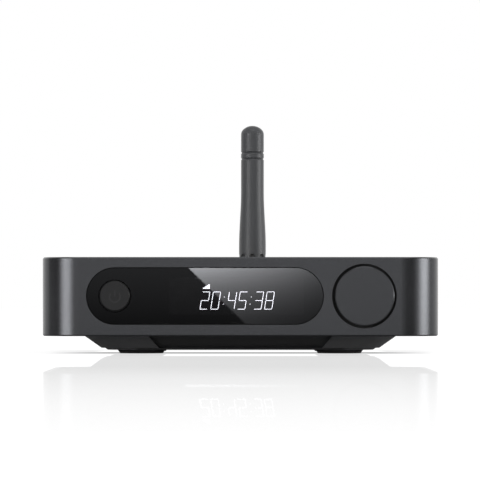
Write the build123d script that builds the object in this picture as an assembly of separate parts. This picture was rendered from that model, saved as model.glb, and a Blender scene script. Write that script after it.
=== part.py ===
from build123d import *
import os
from math import cos, radians, sin

# Network music streamer, in millimetres.
# X runs right as seen from the front, Y runs to the back and Z runs up.
# The origin lies under the middle of the whole part, on the surface that it stands on.

# Case
case_width = 136.0
case_depth = 122.0
case_height = 27.0
corner_radius = 13.0
edge_break = 0.45
side_wall = 2.4
top_wall = 2.4
front_wall = 4.2
rear_wall = 2.4
post_radius = 3.5
post_side_inset = 10.5
pan_screw_bore = 1.25
lug_width = 6.0
lug_depth = 8.0
lug_height = 6.5

# Base
pan_thickness = 1.8
plinth_height = 4.26
plinth_inset = 13.9
plinth_run = 5.8
plinth_corner = 9.0
plinth_wall_run = 3.1
tub_floor = 1.8
step_height = 0.66
step_inset = 1.2
step_run = 0.9
recess_top_land = 22.3
recess_low_land = 18.0
recess_depth = 2.0
foot_height = 1.24
foot_radius = 8.35
foot_taper = 0.9
foot_seat = 0.8
foot_inset_x = 11.8
foot_inset_y = 8.7

# Window, button and display
control_rise = 0.2
window_left_margin = 15.3
window_knob_gap = 2.75
window_height = 19.7
window_thickness = 1.5
window_edge_break = 0.15
display_right_margin = 6.8
display_button_gap = 13.45
display_view_height = 12.6
display_depth = 2.6
display_border = 1.4
holder_wall = 1.5
holder_web = 1.2
button_radius = 5.1
button_proud = 0.3
button_flange = 1.0
button_flange_depth = 1.0
button_skirt = 1.2
button_stem_radius = 1.5
button_travel = 0.5

# Front board and its switch
front_board_gap = 7.0
front_board_side_gap = 3.0
front_board_height = 20.0
board_thickness = 1.6
front_boss_radius = 2.5
front_boss_gap = 5.0
front_boss_rise = 7.2
front_screw_bore = 1.05
switch_width = 6.2
switch_depth = 3.5
plunger_radius = 1.7
plunger_proud = 1.5
plunger_grip = 2.1

# Volume knob and encoder
knob_right_margin = 25.7
knob_radius = 10.1
knob_proud = 5.0
knob_gap = 0.95
pocket_depth = 2.0
knob_clearance = 0.9
knob_wall = 1.5
knob_face = 1.6
knob_hub_radius = 4.3
knob_rib = 1.0
knob_edge_break = 0.3
knob_travel = 0.5
encoder_width = 12.0
encoder_height = 13.2
encoder_depth = 6.5
encoder_face = 1.0
bushing_radius = 3.5
bushing_sink = 0.3
shaft_radius = 3.0
shaft_flat = 1.5
shaft_tail = 0.6
rotor_radius = 4.4
rotor_depth = 3.6

# Main board
board_side_gap = 1.5
board_front_gap = 15.0
board_rise = 4.5
board_boss_radius = 3.0
board_boss_inset = 8.25
board_boss_front = 6.0
board_boss_rear = 30.0
board_rear_gap = 0.6
board_screw_bore = 1.25

# Rear panel
panel_margin = 1.5
panel_top_gap = 1.1
panel_corner = 2.0
panel_lap = 1.2
panel_lap_depth = 1.2
panel_screw_inset = 4.0
panel_screw_drop = 2.7
panel_screw_hole = 1.6

# Rear sockets, with places as seen from the front
socket_gap = 0.2
usb_c_place_share = -0.85
usb_c_width = 8.94
usb_c_height = 3.16
usb_c_depth = 7.35
usb_c_wall = 0.3
usb_c_proud = 0.3
usb_c_tongue_width = 6.7
usb_c_tongue_thickness = 0.7
lan_place_share = -0.55
lan_width = 16.0
lan_height = 13.4
lan_depth = 21.0
lan_mouth_width = 11.8
lan_mouth_height = 8.2
lan_mouth_rise = 3.4
lan_mouth_depth = 14.0
lan_latch_width = 6.0
lan_latch_height = 1.5
lan_contact_count = 8
lan_contact_pitch = 1.02
lan_contact_width = 0.5
lan_contact_drop = 2.2
usb_a_place_share = -0.178
usb_a_width = 13.1
usb_a_height = 5.7
usb_a_depth = 14.0
usb_a_wall = 0.35
usb_a_rise = 1.2
usb_a_proud = 0.5
usb_a_tongue_width = 11.1
usb_a_tongue_thickness = 1.9
usb_a_tongue_drop = 0.4
usb_a_block = 3.5
optical_pitch = 11.5
optical_width = 9.7
optical_height = 10.2
optical_depth = 13.5
optical_mouth_width = 6.8
optical_mouth_height = 7.4
optical_mouth_depth = 9.0
shutter_thickness = 0.9
shutter_sink = 0.6
shutter_gap = 0.2
shutter_pin_radius = 0.4
shutter_pin_drop = 0.85
emitter_radius = 1.6
emitter_proud = 1.2
jack_body_width = 10.0
jack_body_height = 11.6
jack_body_depth = 12.0
jack_axis_rise = 6.3
jack_shell_radius = 4.15
jack_shell_wall = 0.7
jack_proud = 9.5
jack_flange_radius = 4.9
jack_flange = 0.8
jack_insert_sink = 0.6
jack_contact_radius = 1.65
coax_pitch = 10.9
line_jack_pitch = 10.6
left_jack_inset = 6.5

# Antenna jack
antenna_pitch = 9.5
antenna_axis_z = 25.0
jack_thread_radius = 3.175
jack_thread_length = 8.5
jack_bore_radius = 2.3
jack_bore_depth = 5.2
jack_head_radius = 4.3
jack_head = 1.5
jack_tail_radius = 1.6
jack_tail = 4.0
hex_flats = 8.0
jack_nut = 1.8
jack_washer = 0.6
jack_washer_radius = 4.5

# Antenna
thread_pitch = 0.7056
nut_gap = 0.6
coupling_length = 8.0
coupling_radius = 4.6
coupling_wall = 1.2
coupling_grips = 12
coupling_grip_radius = 0.35
ferrule_boss_radius = 2.2
ferrule_flange = 1.2
ferrule_flange_radius = 3.0
ferrule_stem_radius = 2.5
ferrule_stem_reach = 2.4
elbow_radius = 4.8
elbow_length = 3.0
elbow_gap = 0.4
tongue_thickness = 3.0
hinge_gap = 0.5
hinge_pin_radius = 1.2
fork_gap = 0.15
whip_low_radius = 5.0
whip_top_radius = 4.25
whip_length = 58.4
whip_taper_start = 13.4
whip_taper_end = 33.6
whip_dome = 3.4
groove_depth = 0.28
groove_half_width = 0.5
groove_low = 46.0
groove_high = 48.3
flute_radius = 1.4
flute_depth = 0.8
flute_top = 10.8
flute_slot_gap = 0.8
flute_count = 8

# Inside parts
module_depth = 30.0
module_thickness = 1.0
module_rise = 3.0
module_centre_x = -16.0
module_front_inset = 16.0
connector_width = 30.0
connector_depth = 4.0
chip_width = 14.0
chip_height = 1.2
pad_height = 0.8
sink_width = 20.0
sink_height = 8.0
sink_base = 2.0
fin_count = 6
fin_thickness = 1.0
can_width = 14.0
can_depth = 12.0
can_height = 2.0
can_inset = 3.0
can_sink_gap = 3.0
capacitor_radius = 4.0
capacitor_height = 11.0
capacitor_pitch = 10.0
capacitor_inset = 32.5
capacitor_front_inset = 14.0
chip_row_inset = 27.5
chip_row_front_inset = 27.0
chip_count = 3
chip_pitch = 9.0
chip_size = 6.0
chip_thickness = 1.4
ribbon_width = 12.0
ribbon_thickness = 0.4
ribbon_x = 2.0
ribbon_socket_width = 15.0
ribbon_socket_depth = 3.0
ribbon_socket_height = 4.0
ribbon_front_inset = 5.0
ribbon_drop = 1.0
lead_radius = 0.6
lead_bend = 6.0
lead_run = 16.0
lead_plug_radius = 1.3
lead_plug_height = 1.4

# Fits
seat_gap = 0.1
slip_gap = 0.05
window_gap = 0.15
button_gap = 0.35
overrun = 1.0
screw_radius = 1.2
screw_head_radius = 2.6
screw_head_height = 1.5
case_screw_length = 8.0
board_screw_length = 5.5
front_screw_radius = 1.0
front_screw_head_radius = 2.1
front_screw_head_height = 1.2
front_screw_length = 5.0
screw_recess_share = 0.45
screw_recess_depth = 0.7

# Levels and places worked out from the sizes above
knob_centre_x = case_width / 2 - knob_right_margin
window_left_x = window_left_margin - case_width / 2
window_right_x = knob_centre_x - knob_radius - knob_gap - window_knob_gap
window_width = window_right_x - window_left_x
window_centre_x = (window_left_x + window_right_x) / 2
button_x = window_left_x + window_height / 2
display_left_x = button_x + button_radius + display_button_gap
display_right_x = window_right_x - display_right_margin
display_view_width = display_right_x - display_left_x
display_centre_x = (display_left_x + display_right_x) / 2
front_boss_side = (display_view_width / 2 + display_border + seat_gap + holder_wall
                   + front_boss_gap)

case_low = foot_height + step_height + plinth_height
case_top = case_low + case_height
control_z = case_low + case_height / 2 + control_rise
pan_top = case_low + pan_thickness
ceiling = case_top - top_wall
tub_z = foot_height + tub_floor
board_low = pan_top + board_rise - board_thickness
board_top = board_low + board_thickness

washer_end = jack_washer
nut_end = washer_end + jack_nut
coupling_start = nut_end + nut_gap
coupling_end = coupling_start + coupling_length
elbow_start = coupling_end + elbow_gap
elbow_end = elbow_start + elbow_length
pivot_reach = elbow_end + hinge_gap + whip_low_radius
rear_reach = pivot_reach + whip_low_radius
whip_slot = elbow_radius + hinge_gap
flute_low = whip_slot + flute_slot_gap

front_y = knob_proud - (knob_proud + case_depth + rear_reach) / 2
back_y = front_y + case_depth
middle_y = (front_y + back_y) / 2
wall_y = front_y + front_wall
front_board_y = wall_y + front_board_gap
pocket_y = front_y + pocket_depth
knob_back_y = pocket_y - knob_clearance
knob_front_y = front_y - knob_proud
pivot_y = back_y + pivot_reach

cavity_width = case_width - 2 * side_wall
cavity_depth = case_depth - front_wall - rear_wall
cavity_y = (wall_y + back_y - rear_wall) / 2
cavity_radius = corner_radius - side_wall
post_x = case_width / 2 - post_side_inset
post_y = case_depth / 2 - post_side_inset
panel_width = case_width - 2 * (corner_radius + panel_margin)
panel_screw_x = panel_width / 2 - panel_screw_inset
panel_top = ceiling - panel_top_gap
panel_inner_y = back_y - rear_wall
lap_y = panel_inner_y - panel_lap_depth
board_back_y = lap_y - board_rear_gap
board_front_y = front_board_y + board_thickness + board_front_gap
board_depth = board_back_y - board_front_y
board_width = 2 * (post_x - post_radius - board_side_gap)
front_board_width = 2 * (post_x - post_radius - front_board_side_gap)
jack_axis_z = board_top + jack_axis_rise
panel_screw_z = panel_top - panel_screw_drop

usb_c_x = usb_c_place_share * panel_width / 2
lan_x = lan_place_share * panel_width / 2
usb_a_x = usb_a_place_share * panel_width / 2
left_jack_x = panel_width / 2 - left_jack_inset
right_jack_x = left_jack_x - line_jack_pitch
coax_x = right_jack_x - coax_pitch
optical_x = coax_x - optical_pitch
antenna_x = optical_x - antenna_pitch

plinth_slope = plinth_run / plinth_height
tub_floor_inset = plinth_inset + plinth_wall_run + plinth_slope * (case_low - tub_z)
base_low_inset = plinth_inset + plinth_run + step_inset + step_run
foot_x = case_width / 2 - base_low_inset - foot_inset_x
foot_y = case_depth / 2 - base_low_inset - foot_inset_y
board_boss_x = case_width / 2 - tub_floor_inset - board_boss_inset
module_width = sink_width + can_sink_gap + can_width + can_inset


def block(x_from, x_to, y_from, y_to, z_from, z_to):
    """A box between two corners."""
    size = Box(x_to - x_from, y_to - y_from, z_to - z_from)
    return Pos((x_from + x_to) / 2, (y_from + y_to) / 2, (z_from + z_to) / 2) * size


def rod_x(radius, x_from, x_to, y, z):
    """A cylinder along X."""
    return Pos((x_from + x_to) / 2, y, z) * (Rot(0, 90, 0) * Cylinder(radius, x_to - x_from))


def rod_y(radius, y_from, y_to, x, z):
    """A cylinder along Y."""
    return Pos(x, (y_from + y_to) / 2, z) * (Rot(90, 0, 0) * Cylinder(radius, y_to - y_from))


def rod_z(radius, z_from, z_to, x, y):
    """A cylinder along Z."""
    return Pos(x, y, (z_from + z_to) / 2) * Cylinder(radius, z_to - z_from)


def plate_y(outline, y_from, y_to, x, z):
    """A flat outline, drawn with X right and Z up, made a plate between two places on Y."""
    drawing = Plane(origin=(x, y_to, z), x_dir=(1, 0, 0), z_dir=(0, -1, 0))
    return extrude(drawing * outline, y_to - y_from)


def plate_z(outline, z_from, z_to, x, y):
    """A flat outline made a plate between two heights."""
    return Pos(x, y, z_from) * extrude(outline, z_to - z_from)


def corners(side_x, side_y):
    """The four places at plus and minus two distances."""
    return [(x, y) for x in (-side_x, side_x) for y in (-side_y, side_y)]


def case_bosses():
    """Corner posts for the base pan's screws, front board bosses and rear panel lugs."""
    bosses = []
    for x, y in corners(post_x, post_y):
        post = rod_z(post_radius, pan_top, ceiling + slip_gap, x, middle_y + y)
        bore_top = pan_top + case_screw_length
        bosses.append(post - rod_z(pan_screw_bore, pan_top, bore_top, x, middle_y + y))
    for x, z in corners(front_boss_side, front_boss_rise):
        place = (display_centre_x + x, control_z + z)
        boss = rod_y(front_boss_radius, wall_y - slip_gap, front_board_y, *place)
        bore_front = front_board_y - front_screw_length
        bosses.append(boss - rod_y(front_screw_bore, bore_front, front_board_y, *place))
    for x in (-panel_screw_x, panel_screw_x):
        lug = block(x - lug_width / 2, x + lug_width / 2, lap_y - lug_depth, lap_y,
                    ceiling - lug_height, ceiling + slip_gap)
        bore = rod_y(pan_screw_bore, lap_y - lug_depth + overrun, lap_y, x, panel_screw_z)
        bosses.append(lug - bore)
    return bosses


def make_upper_case():
    """The one-piece case: top, sides, front with its pockets, and an open rear and underside."""
    outer = plate_z(RectangleRounded(case_width, case_depth, corner_radius), case_low, case_top,
                    0, middle_y)
    rims = outer.edges().group_by(Axis.Z)
    outer = chamfer(rims[0] + rims[-1], edge_break)
    cavity = plate_z(RectangleRounded(cavity_width, cavity_depth, cavity_radius),
                     case_low - overrun, ceiling, 0, cavity_y)
    case = outer - cavity
    for boss in case_bosses():
        case += boss
    case -= plate_y(SlotOverall(window_width, window_height), front_y - overrun,
                    front_y + window_thickness, window_centre_x, control_z)
    case -= plate_y(RectangleRounded(display_view_width, display_view_height, edge_break),
                    front_y, wall_y + overrun, display_centre_x, control_z)
    case -= rod_y(button_radius + button_gap, front_y, wall_y + overrun, button_x, control_z)
    case -= rod_y(knob_radius + knob_gap, front_y - overrun, pocket_y, knob_centre_x, control_z)
    case -= rod_y(bushing_radius + seat_gap, front_y, wall_y + overrun, knob_centre_x, control_z)
    opening = Rectangle(panel_width, 2 * (panel_top - case_low))
    opening = fillet(opening.vertices(), panel_corner)
    case -= plate_y(opening, panel_inner_y - slip_gap, back_y + overrun, 0, case_low)
    return case


def make_rear_panel():
    """The moulded rear plate, with a lap behind the case's frame and an opening for each socket."""
    height = panel_top - case_low
    face = Rectangle(panel_width - 2 * seat_gap, 2 * height - 2 * seat_gap)
    face = fillet(face.vertices(), panel_corner)
    panel = plate_y(face, panel_inner_y, back_y, 0, case_low)
    panel -= block(-case_width, case_width, front_y, back_y + overrun, case_low - height * 2,
                   case_low)
    lap_half = panel_width / 2 + panel_lap
    lap_top = ceiling - slip_gap
    panel += block(-lap_half, lap_half, lap_y, panel_inner_y, pan_top + slip_gap, lap_top)
    for x, z, width, rise in socket_openings():
        panel -= block(x - width / 2 - socket_gap, x + width / 2 + socket_gap, lap_y - overrun,
                       back_y + overrun, z - socket_gap, z + rise + socket_gap)
    for x in (coax_x, right_jack_x, left_jack_x):
        panel -= rod_y(jack_shell_radius + socket_gap, lap_y - overrun, back_y + overrun, x,
                       jack_axis_z)
    panel -= rod_y(jack_thread_radius + seat_gap, lap_y - overrun, back_y + overrun, antenna_x,
                   antenna_axis_z)
    for x in (-panel_screw_x, panel_screw_x):
        panel -= rod_y(panel_screw_hole, lap_y - overrun, back_y + overrun, x, panel_screw_z)
    return panel


def socket_openings():
    """Middle, lower edge, width and height of each square-cut socket opening."""
    return [
        (usb_c_x, board_top, usb_c_width, usb_c_height),
        (lan_x, board_top, lan_width, lan_height),
        (usb_a_x, board_top + usb_a_rise, usb_a_width, usb_a_height),
        (optical_x, board_top, optical_width, optical_height),
    ]


def tapered(low_inset, high_inset, z_low, z_high, corner):
    """A solid that tapers between two rounded outlines, each set in from the case's outline."""
    outlines = []
    for inset, z in ((low_inset, z_low), (high_inset, z_high)):
        outline = RectangleRounded(case_width - 2 * inset, case_depth - 2 * inset, corner)
        outlines.append(Pos(0, middle_y, z) * outline)
    return loft(outlines)


def make_base_pan():
    """The bottom plate with its stepped plinth, hollow inside, with bosses for the main board."""
    pan_back = back_y - rear_wall - seat_gap
    pan_front = wall_y + seat_gap
    plate = plate_z(RectangleRounded(cavity_width - 2 * seat_gap, pan_back - pan_front,
                                     cavity_radius - seat_gap),
                    case_low, pan_top, 0, (pan_back + pan_front) / 2)
    low_inset = plinth_inset + plinth_run
    plinth_low = foot_height + step_height
    plinth = tapered(low_inset, plinth_inset, plinth_low, case_low, plinth_corner)
    recess_low = case_width / 2 - base_low_inset - recess_low_land
    recess_top = case_width / 2 - plinth_inset - recess_top_land
    zone = Polygon((-recess_low, 0), (recess_low, 0), (recess_top, plinth_height),
                   (-recess_top, plinth_height), align=None)
    zone = plate_y(zone, front_y, back_y, 0, plinth_low)
    core_shrink = case_depth - 2 * plinth_inset
    core_scale = (core_shrink - 2 * recess_depth) / core_shrink
    core = Pos(0, middle_y, 0) * scale(Pos(0, -middle_y, 0) * plinth, by=(1, core_scale, 1))
    plinth -= zone - core
    plinth += tapered(base_low_inset, low_inset + step_inset, foot_height, plinth_low,
                      plinth_corner)
    pan = plate + plinth
    rim_inset = plinth_inset + plinth_wall_run - plinth_slope * pan_thickness
    pan -= tapered(tub_floor_inset, rim_inset, tub_z, pan_top, plinth_corner)
    for x, y in board_screw_places():
        pan += rod_z(board_boss_radius, tub_z - slip_gap, board_low, x, y)
        pan -= rod_z(board_screw_bore, board_low - board_screw_length, board_low, x, y)
    for x, y in corners(post_x, post_y):
        pan -= rod_z(panel_screw_hole, case_low - overrun, pan_top + overrun, x, middle_y + y)
        sink = Cone(screw_head_radius + seat_gap, panel_screw_hole, screw_head_height)
        pan -= Pos(x, middle_y + y, case_low + screw_head_height / 2) * sink
    for x, y in corners(foot_x, foot_y):
        pan -= rod_z(foot_radius + seat_gap, foot_height - overrun, foot_height + foot_seat, x,
                     middle_y + y)
    return pan


def board_screw_places():
    """The four places where the main board is screwed to the base pan."""
    rows = (board_front_y + board_boss_front, board_back_y - board_boss_rear)
    return [(x, y) for x in (-board_boss_x, board_boss_x) for y in rows]


def make_foot(x, y):
    """A rubber foot: a disc in the base's seat that tapers below it."""
    disc = rod_z(foot_radius, foot_height, foot_height + foot_seat, x, middle_y + y)
    sole = Cone(foot_radius - foot_taper, foot_radius, foot_height)
    return disc + Pos(x, middle_y + y, foot_height / 2) * sole


def screw(radius, length, head_radius, head_height, countersunk=False):
    """A cross-recess screw that points down, with the underside of its head at zero."""
    shank = Pos(0, 0, -length / 2) * Cylinder(radius, length)
    if countersunk:
        head = Pos(0, 0, -head_height / 2) * Cone(radius, head_radius, head_height)
        top = 0
    else:
        head = Pos(0, 0, head_height / 2) * Cylinder(head_radius, head_height)
        head = chamfer(head.edges().group_by(Axis.Z)[-1], head_height / 3)
        top = head_height
    arm = head_radius * 2 * screw_recess_share
    cross = Pos(0, 0, top) * Box(arm, screw_recess_depth, 2 * screw_recess_depth)
    return shank + head - cross - Rot(0, 0, 90) * cross


def make_case_screws():
    """Four countersunk screws from below, through the base pan into the case's posts."""
    piece = screw(screw_radius, case_screw_length, screw_head_radius, screw_head_height, True)
    return [Pos(x, middle_y + y, case_low) * Rot(180, 0, 0) * piece
            for x, y in corners(post_x, post_y)]


def make_panel_screws():
    """Two screws from the rear, through the rear panel into the case's lugs."""
    piece = screw(screw_radius, case_screw_length, screw_head_radius, screw_head_height)
    return [Pos(x, back_y, panel_screw_z) * Rot(-90, 0, 0) * piece
            for x in (-panel_screw_x, panel_screw_x)]


def make_board_screws():
    """Four screws that hold the main board on the base pan's bosses."""
    length = board_screw_length - seat_gap
    piece = screw(screw_radius, length, screw_head_radius, screw_head_height)
    return [Pos(x, y, board_top) * piece for x, y in board_screw_places()]


def make_front_board_screws():
    """Four screws that hold the front board on the bosses behind the case's front."""
    rear = front_board_y + board_thickness
    piece = screw(front_screw_radius, front_screw_length, front_screw_head_radius,
                  front_screw_head_height)
    return [Pos(display_centre_x + x, rear, control_z + z) * Rot(-90, 0, 0) * piece
            for x, z in corners(front_boss_side, front_boss_rise)]


def make_window_panel():
    """The dark clear window, set in its pocket, with a hole for the power button."""
    outline = SlotOverall(window_width - 2 * window_gap, window_height - 2 * window_gap)
    window = plate_y(outline, front_y, front_y + window_thickness, window_centre_x, control_z)
    window -= rod_y(button_radius + button_gap, front_y - overrun, wall_y, button_x, control_z)
    front_edges = window.edges().group_by(Axis.Y)[0]
    return chamfer(front_edges, window_edge_break)


def make_power_button():
    """A round moulded cap with a skirt, a flange behind the wall and a stem for the switch."""
    front = front_y - button_proud
    flange_y = wall_y + slip_gap
    flange_end = flange_y + button_flange_depth
    plunger_y = front_board_y - switch_depth - plunger_proud
    cap = rod_y(button_radius, front, flange_end, button_x, control_z)
    cap = chamfer(cap.edges().group_by(Axis.Y)[0], button_proud)
    cap += rod_y(button_radius + button_flange, flange_y, flange_end, button_x, control_z)
    hollow = rod_y(button_radius - button_skirt, front + button_skirt, flange_end, button_x,
                   control_z)
    stem = rod_y(button_stem_radius, front + button_skirt - slip_gap, plunger_y, button_x,
                 control_z)
    return cap - hollow + stem


def make_switch_body():
    """The square body of the push switch, with a bore for its plunger."""
    half = switch_width / 2
    body = block(button_x - half, button_x + half, front_board_y - switch_depth, front_board_y,
                 control_z - half, control_z + half)
    bore_end = front_board_y - switch_depth + plunger_grip + button_travel + seat_gap
    return body - rod_y(plunger_radius + slip_gap, front_board_y - switch_depth - overrun,
                        bore_end, button_x, control_z)


def make_switch_plunger():
    """The switch's round plunger, which the button's stem rests on."""
    face = front_board_y - switch_depth
    plunger = rod_y(plunger_radius, face - plunger_proud, face + plunger_grip, button_x, control_z)
    return chamfer(plunger.edges().group_by(Axis.Y)[0], seat_gap)


def make_display_module():
    """The display's glass on its carrier, pressed against the wall behind its opening."""
    width = display_view_width + 2 * display_border
    height = display_view_height + 2 * display_border
    glass = plate_y(Rectangle(width, height), wall_y, wall_y + display_depth / 2,
                    display_centre_x, control_z)
    inner = Rectangle(width - display_border, height - display_border)
    carrier = plate_y(inner, wall_y + display_depth / 2, wall_y + display_depth,
                      display_centre_x, control_z)
    return glass + carrier


def make_display_holder():
    """A moulded tray on the front board that carries the display, open at the rear."""
    width = display_view_width + 2 * display_border + 2 * seat_gap
    height = display_view_height + 2 * display_border + 2 * seat_gap
    outer = Rectangle(width + 2 * holder_wall, height + 2 * holder_wall)
    outer = fillet(outer.vertices(), holder_wall)
    holder = plate_y(outer, wall_y + seat_gap, front_board_y, display_centre_x, control_z)
    seat = wall_y + display_depth
    holder -= plate_y(Rectangle(width, height), wall_y, seat, display_centre_x, control_z)
    rear = Rectangle(width, height)
    holder -= plate_y(rear, seat + holder_web, front_board_y + overrun, display_centre_x,
                      control_z)
    return holder


def make_front_board():
    """The board behind the case's front, which carries the display, switch and encoder."""
    outline = Rectangle(front_board_width, front_board_height)
    outline = fillet(outline.vertices(), edge_break)
    board = plate_y(outline, front_board_y, front_board_y + board_thickness, 0, control_z)
    for x, z in corners(front_boss_side, front_boss_rise):
        board -= rod_y(front_screw_radius + seat_gap, front_board_y - overrun,
                       front_board_y + board_thickness + overrun, display_centre_x + x,
                       control_z + z)
    return board


def shaft_section(radius):
    """A round section with a flat on its upper side."""
    width = 2 * radius
    return Circle(radius) - Pos(0, radius + shaft_flat) * Rectangle(width, width)


def make_volume_knob():
    """A hollow turned knob with a hub for the flatted shaft and ribs out to its rim."""
    knob = rod_y(knob_radius, knob_front_y, knob_back_y, knob_centre_x, control_z)
    knob = chamfer(knob.edges().group_by(Axis.Y)[0], knob_edge_break)
    face_end = knob_front_y + knob_face
    knob -= rod_y(knob_radius - knob_wall, face_end, knob_back_y, knob_centre_x, control_z)
    hub = rod_y(knob_hub_radius, face_end - slip_gap, knob_back_y, knob_centre_x, control_z)
    reach = 2 * (knob_radius - knob_wall) + knob_wall
    knob += hub
    for angle in (0, 60, 120):
        turned = Rectangle(reach, knob_rib).rotate(Axis.Z, angle)
        rib = plate_y(turned, face_end - slip_gap, knob_back_y - knob_wall, knob_centre_x,
                      control_z)
        knob += rib
    return knob - plate_y(shaft_section(shaft_radius + slip_gap), face_end - slip_gap,
                          knob_back_y + overrun, knob_centre_x, control_z)


def make_encoder_shaft():
    """The flatted shaft that carries the knob and slides through the rotor."""
    tail = front_board_y - knob_travel - shaft_tail - encoder_face
    return plate_y(shaft_section(shaft_radius), knob_front_y + knob_face, tail, knob_centre_x,
                   control_z)


def make_encoder_rotor():
    """The contact wheel inside the encoder, which the flatted shaft turns."""
    start = front_board_y - encoder_depth + encoder_face + seat_gap
    rotor = rod_y(rotor_radius, start, start + rotor_depth, knob_centre_x, control_z)
    return rotor - plate_y(shaft_section(shaft_radius + slip_gap), start - overrun,
                           start + rotor_depth + overrun, knob_centre_x, control_z)


def make_encoder_body():
    """The square encoder housing, with a round chamber for the rotor."""
    front = front_board_y - encoder_depth
    body = plate_y(Rectangle(encoder_width, encoder_height), front, front_board_y,
                   knob_centre_x, control_z)
    chamber_start = front + encoder_face
    chamber_end = chamber_start + rotor_depth + 2 * seat_gap
    body -= rod_y(rotor_radius + seat_gap, chamber_start, chamber_end, knob_centre_x, control_z)
    return body - rod_y(shaft_radius + slip_gap, front - overrun, front_board_y - encoder_face / 2,
                        knob_centre_x, control_z)


def make_encoder_bushing():
    """The collar that guides the shaft through the case's front wall."""
    start = pocket_y + bushing_sink
    end = front_board_y - encoder_depth
    collar = rod_y(bushing_radius, start, end, knob_centre_x, control_z)
    collar = chamfer(collar.edges().group_by(Axis.Y)[0], slip_gap)
    return collar - rod_y(shaft_radius + slip_gap, start - overrun, end + overrun, knob_centre_x,
                          control_z)


def make_main_board():
    """The main circuit board."""
    outline = Rectangle(board_width, board_depth)
    outline = fillet(outline.vertices(), edge_break)
    board = plate_z(outline, board_low, board_top, 0, (board_front_y + board_back_y) / 2)
    for x, y in board_screw_places():
        board -= rod_z(screw_radius + seat_gap, board_low - overrun, board_top + overrun, x, y)
    return board


def module_places():
    """The processor module's middle and the height of its underside."""
    centre_y = board_front_y + module_front_inset + module_depth / 2
    return module_centre_x, centre_y, board_top + module_rise


def make_processor_module():
    """The small board that carries the processor and the radio."""
    x, y, z = module_places()
    outline = Rectangle(module_width, module_depth)
    return plate_z(fillet(outline.vertices(), edge_break), z, z + module_thickness, x, y)


def make_module_connectors():
    """Two board-to-board connectors under the processor module."""
    x, y, z = module_places()
    side = (module_depth - connector_depth) / 2
    bar = Rectangle(connector_width, connector_depth)
    return [plate_z(bar, board_top, z, x, y + offset) for offset in (-side, side)]


def chip_stack():
    """The middle of the processor and the heights of its chip, pad and heat sink."""
    x, y, z = module_places()
    chip_x = x - (module_width - sink_width) / 2
    chip_low = z + module_thickness
    pad_low = chip_low + chip_height
    return chip_x, y, chip_low, pad_low, pad_low + pad_height


def make_chips():
    """The processor, and three converter and amplifier chips in a row."""
    x, y, low, high, _ = chip_stack()
    chips = [plate_z(Rectangle(chip_width, chip_width), low, high, x, y)]
    row_x = board_width / 2 - chip_row_inset
    row_y = board_front_y + chip_row_front_inset + chip_size
    for step in range(chip_count):
        chips.append(plate_z(Rectangle(chip_size, chip_size), board_top,
                             board_top + chip_thickness, row_x + step * chip_pitch, row_y))
    return chips


def make_thermal_pad():
    """The soft pad between the processor and its heat sink."""
    x, y, _, low, high = chip_stack()
    return plate_z(Rectangle(chip_width, chip_width), low, high, x, y)


def make_heat_sink():
    """The finned heat sink on the processor."""
    x, y, _, _, low = chip_stack()
    sink = plate_z(Rectangle(sink_width, sink_width), low, low + sink_base, x, y)
    pitch = (sink_width - fin_thickness) / (fin_count - 1)
    for step in range(fin_count):
        fin_x = x - (sink_width - fin_thickness) / 2 + step * pitch
        fin = Rectangle(fin_thickness, sink_width)
        sink += plate_z(fin, low + sink_base, low + sink_height, fin_x, y)
    return sink


def shield_place():
    """The middle of the radio's shield can and the height of its foot."""
    x, y, z = module_places()
    return x + (module_width - can_width) / 2 - can_inset, y, z + module_thickness


def make_shield_can():
    """The folded shield over the radio."""
    x, y, low = shield_place()
    outline = Rectangle(can_width, can_depth)
    can = plate_z(fillet(outline.vertices(), edge_break), low, low + can_height, x, y)
    return chamfer(can.edges().group_by(Axis.Z)[-1], edge_break / 2)


def make_capacitors():
    """Four upright supply capacitors in a two by two group."""
    cans = []
    first_x = board_width / 2 - capacitor_inset
    first_y = board_front_y + capacitor_front_inset
    for column in range(2):
        for row in range(2):
            can = rod_z(capacitor_radius, board_top, board_top + capacitor_height,
                        first_x + column * capacitor_pitch, first_y + row * capacitor_pitch)
            cans.append(chamfer(can.edges().group_by(Axis.Z)[-1], edge_break))
    return cans


def ribbon_ends():
    """Where the ribbon meets the main board's socket and the front board's socket."""
    board_y = board_front_y + ribbon_front_inset
    front_socket_y = front_board_y + board_thickness + ribbon_socket_height
    return board_y, board_top + ribbon_socket_height, front_socket_y, control_z - ribbon_drop


def make_ribbon_sockets():
    """The two sockets that hold the ribbon's ends."""
    board_y, top_z, socket_y, front_z = ribbon_ends()
    lower = plate_z(Rectangle(ribbon_socket_width, ribbon_socket_depth), board_top, top_z,
                    ribbon_x, board_y)
    front = plate_y(Rectangle(ribbon_socket_width, ribbon_socket_depth),
                    front_board_y + board_thickness, socket_y, ribbon_x, front_z)
    return [lower, front]


def make_ribbon_cable():
    """The flat ribbon from the main board to the front board."""
    board_y, top_z, socket_y, front_z = ribbon_ends()
    bend = min(front_z - top_z, board_y - socket_y) / 2
    path = FilletPolyline((ribbon_x, board_y, top_z), (ribbon_x, board_y, front_z),
                          (ribbon_x, socket_y, front_z), radius=bend)
    section = Pos(ribbon_x, board_y, top_z) * Rectangle(ribbon_width, ribbon_thickness)
    return sweep(section, path=path)


def make_usb_c_shell():
    """The rounded metal shell of the power inlet."""
    centre_z = board_top + usb_c_height / 2
    end = back_y + usb_c_proud
    start = end - usb_c_depth
    shell = plate_y(SlotOverall(usb_c_width, usb_c_height), start, end, usb_c_x, centre_z)
    inner = SlotOverall(usb_c_width - 2 * usb_c_wall, usb_c_height - 2 * usb_c_wall)
    return shell - plate_y(inner, start + overrun, end + overrun, usb_c_x, centre_z)


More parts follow.
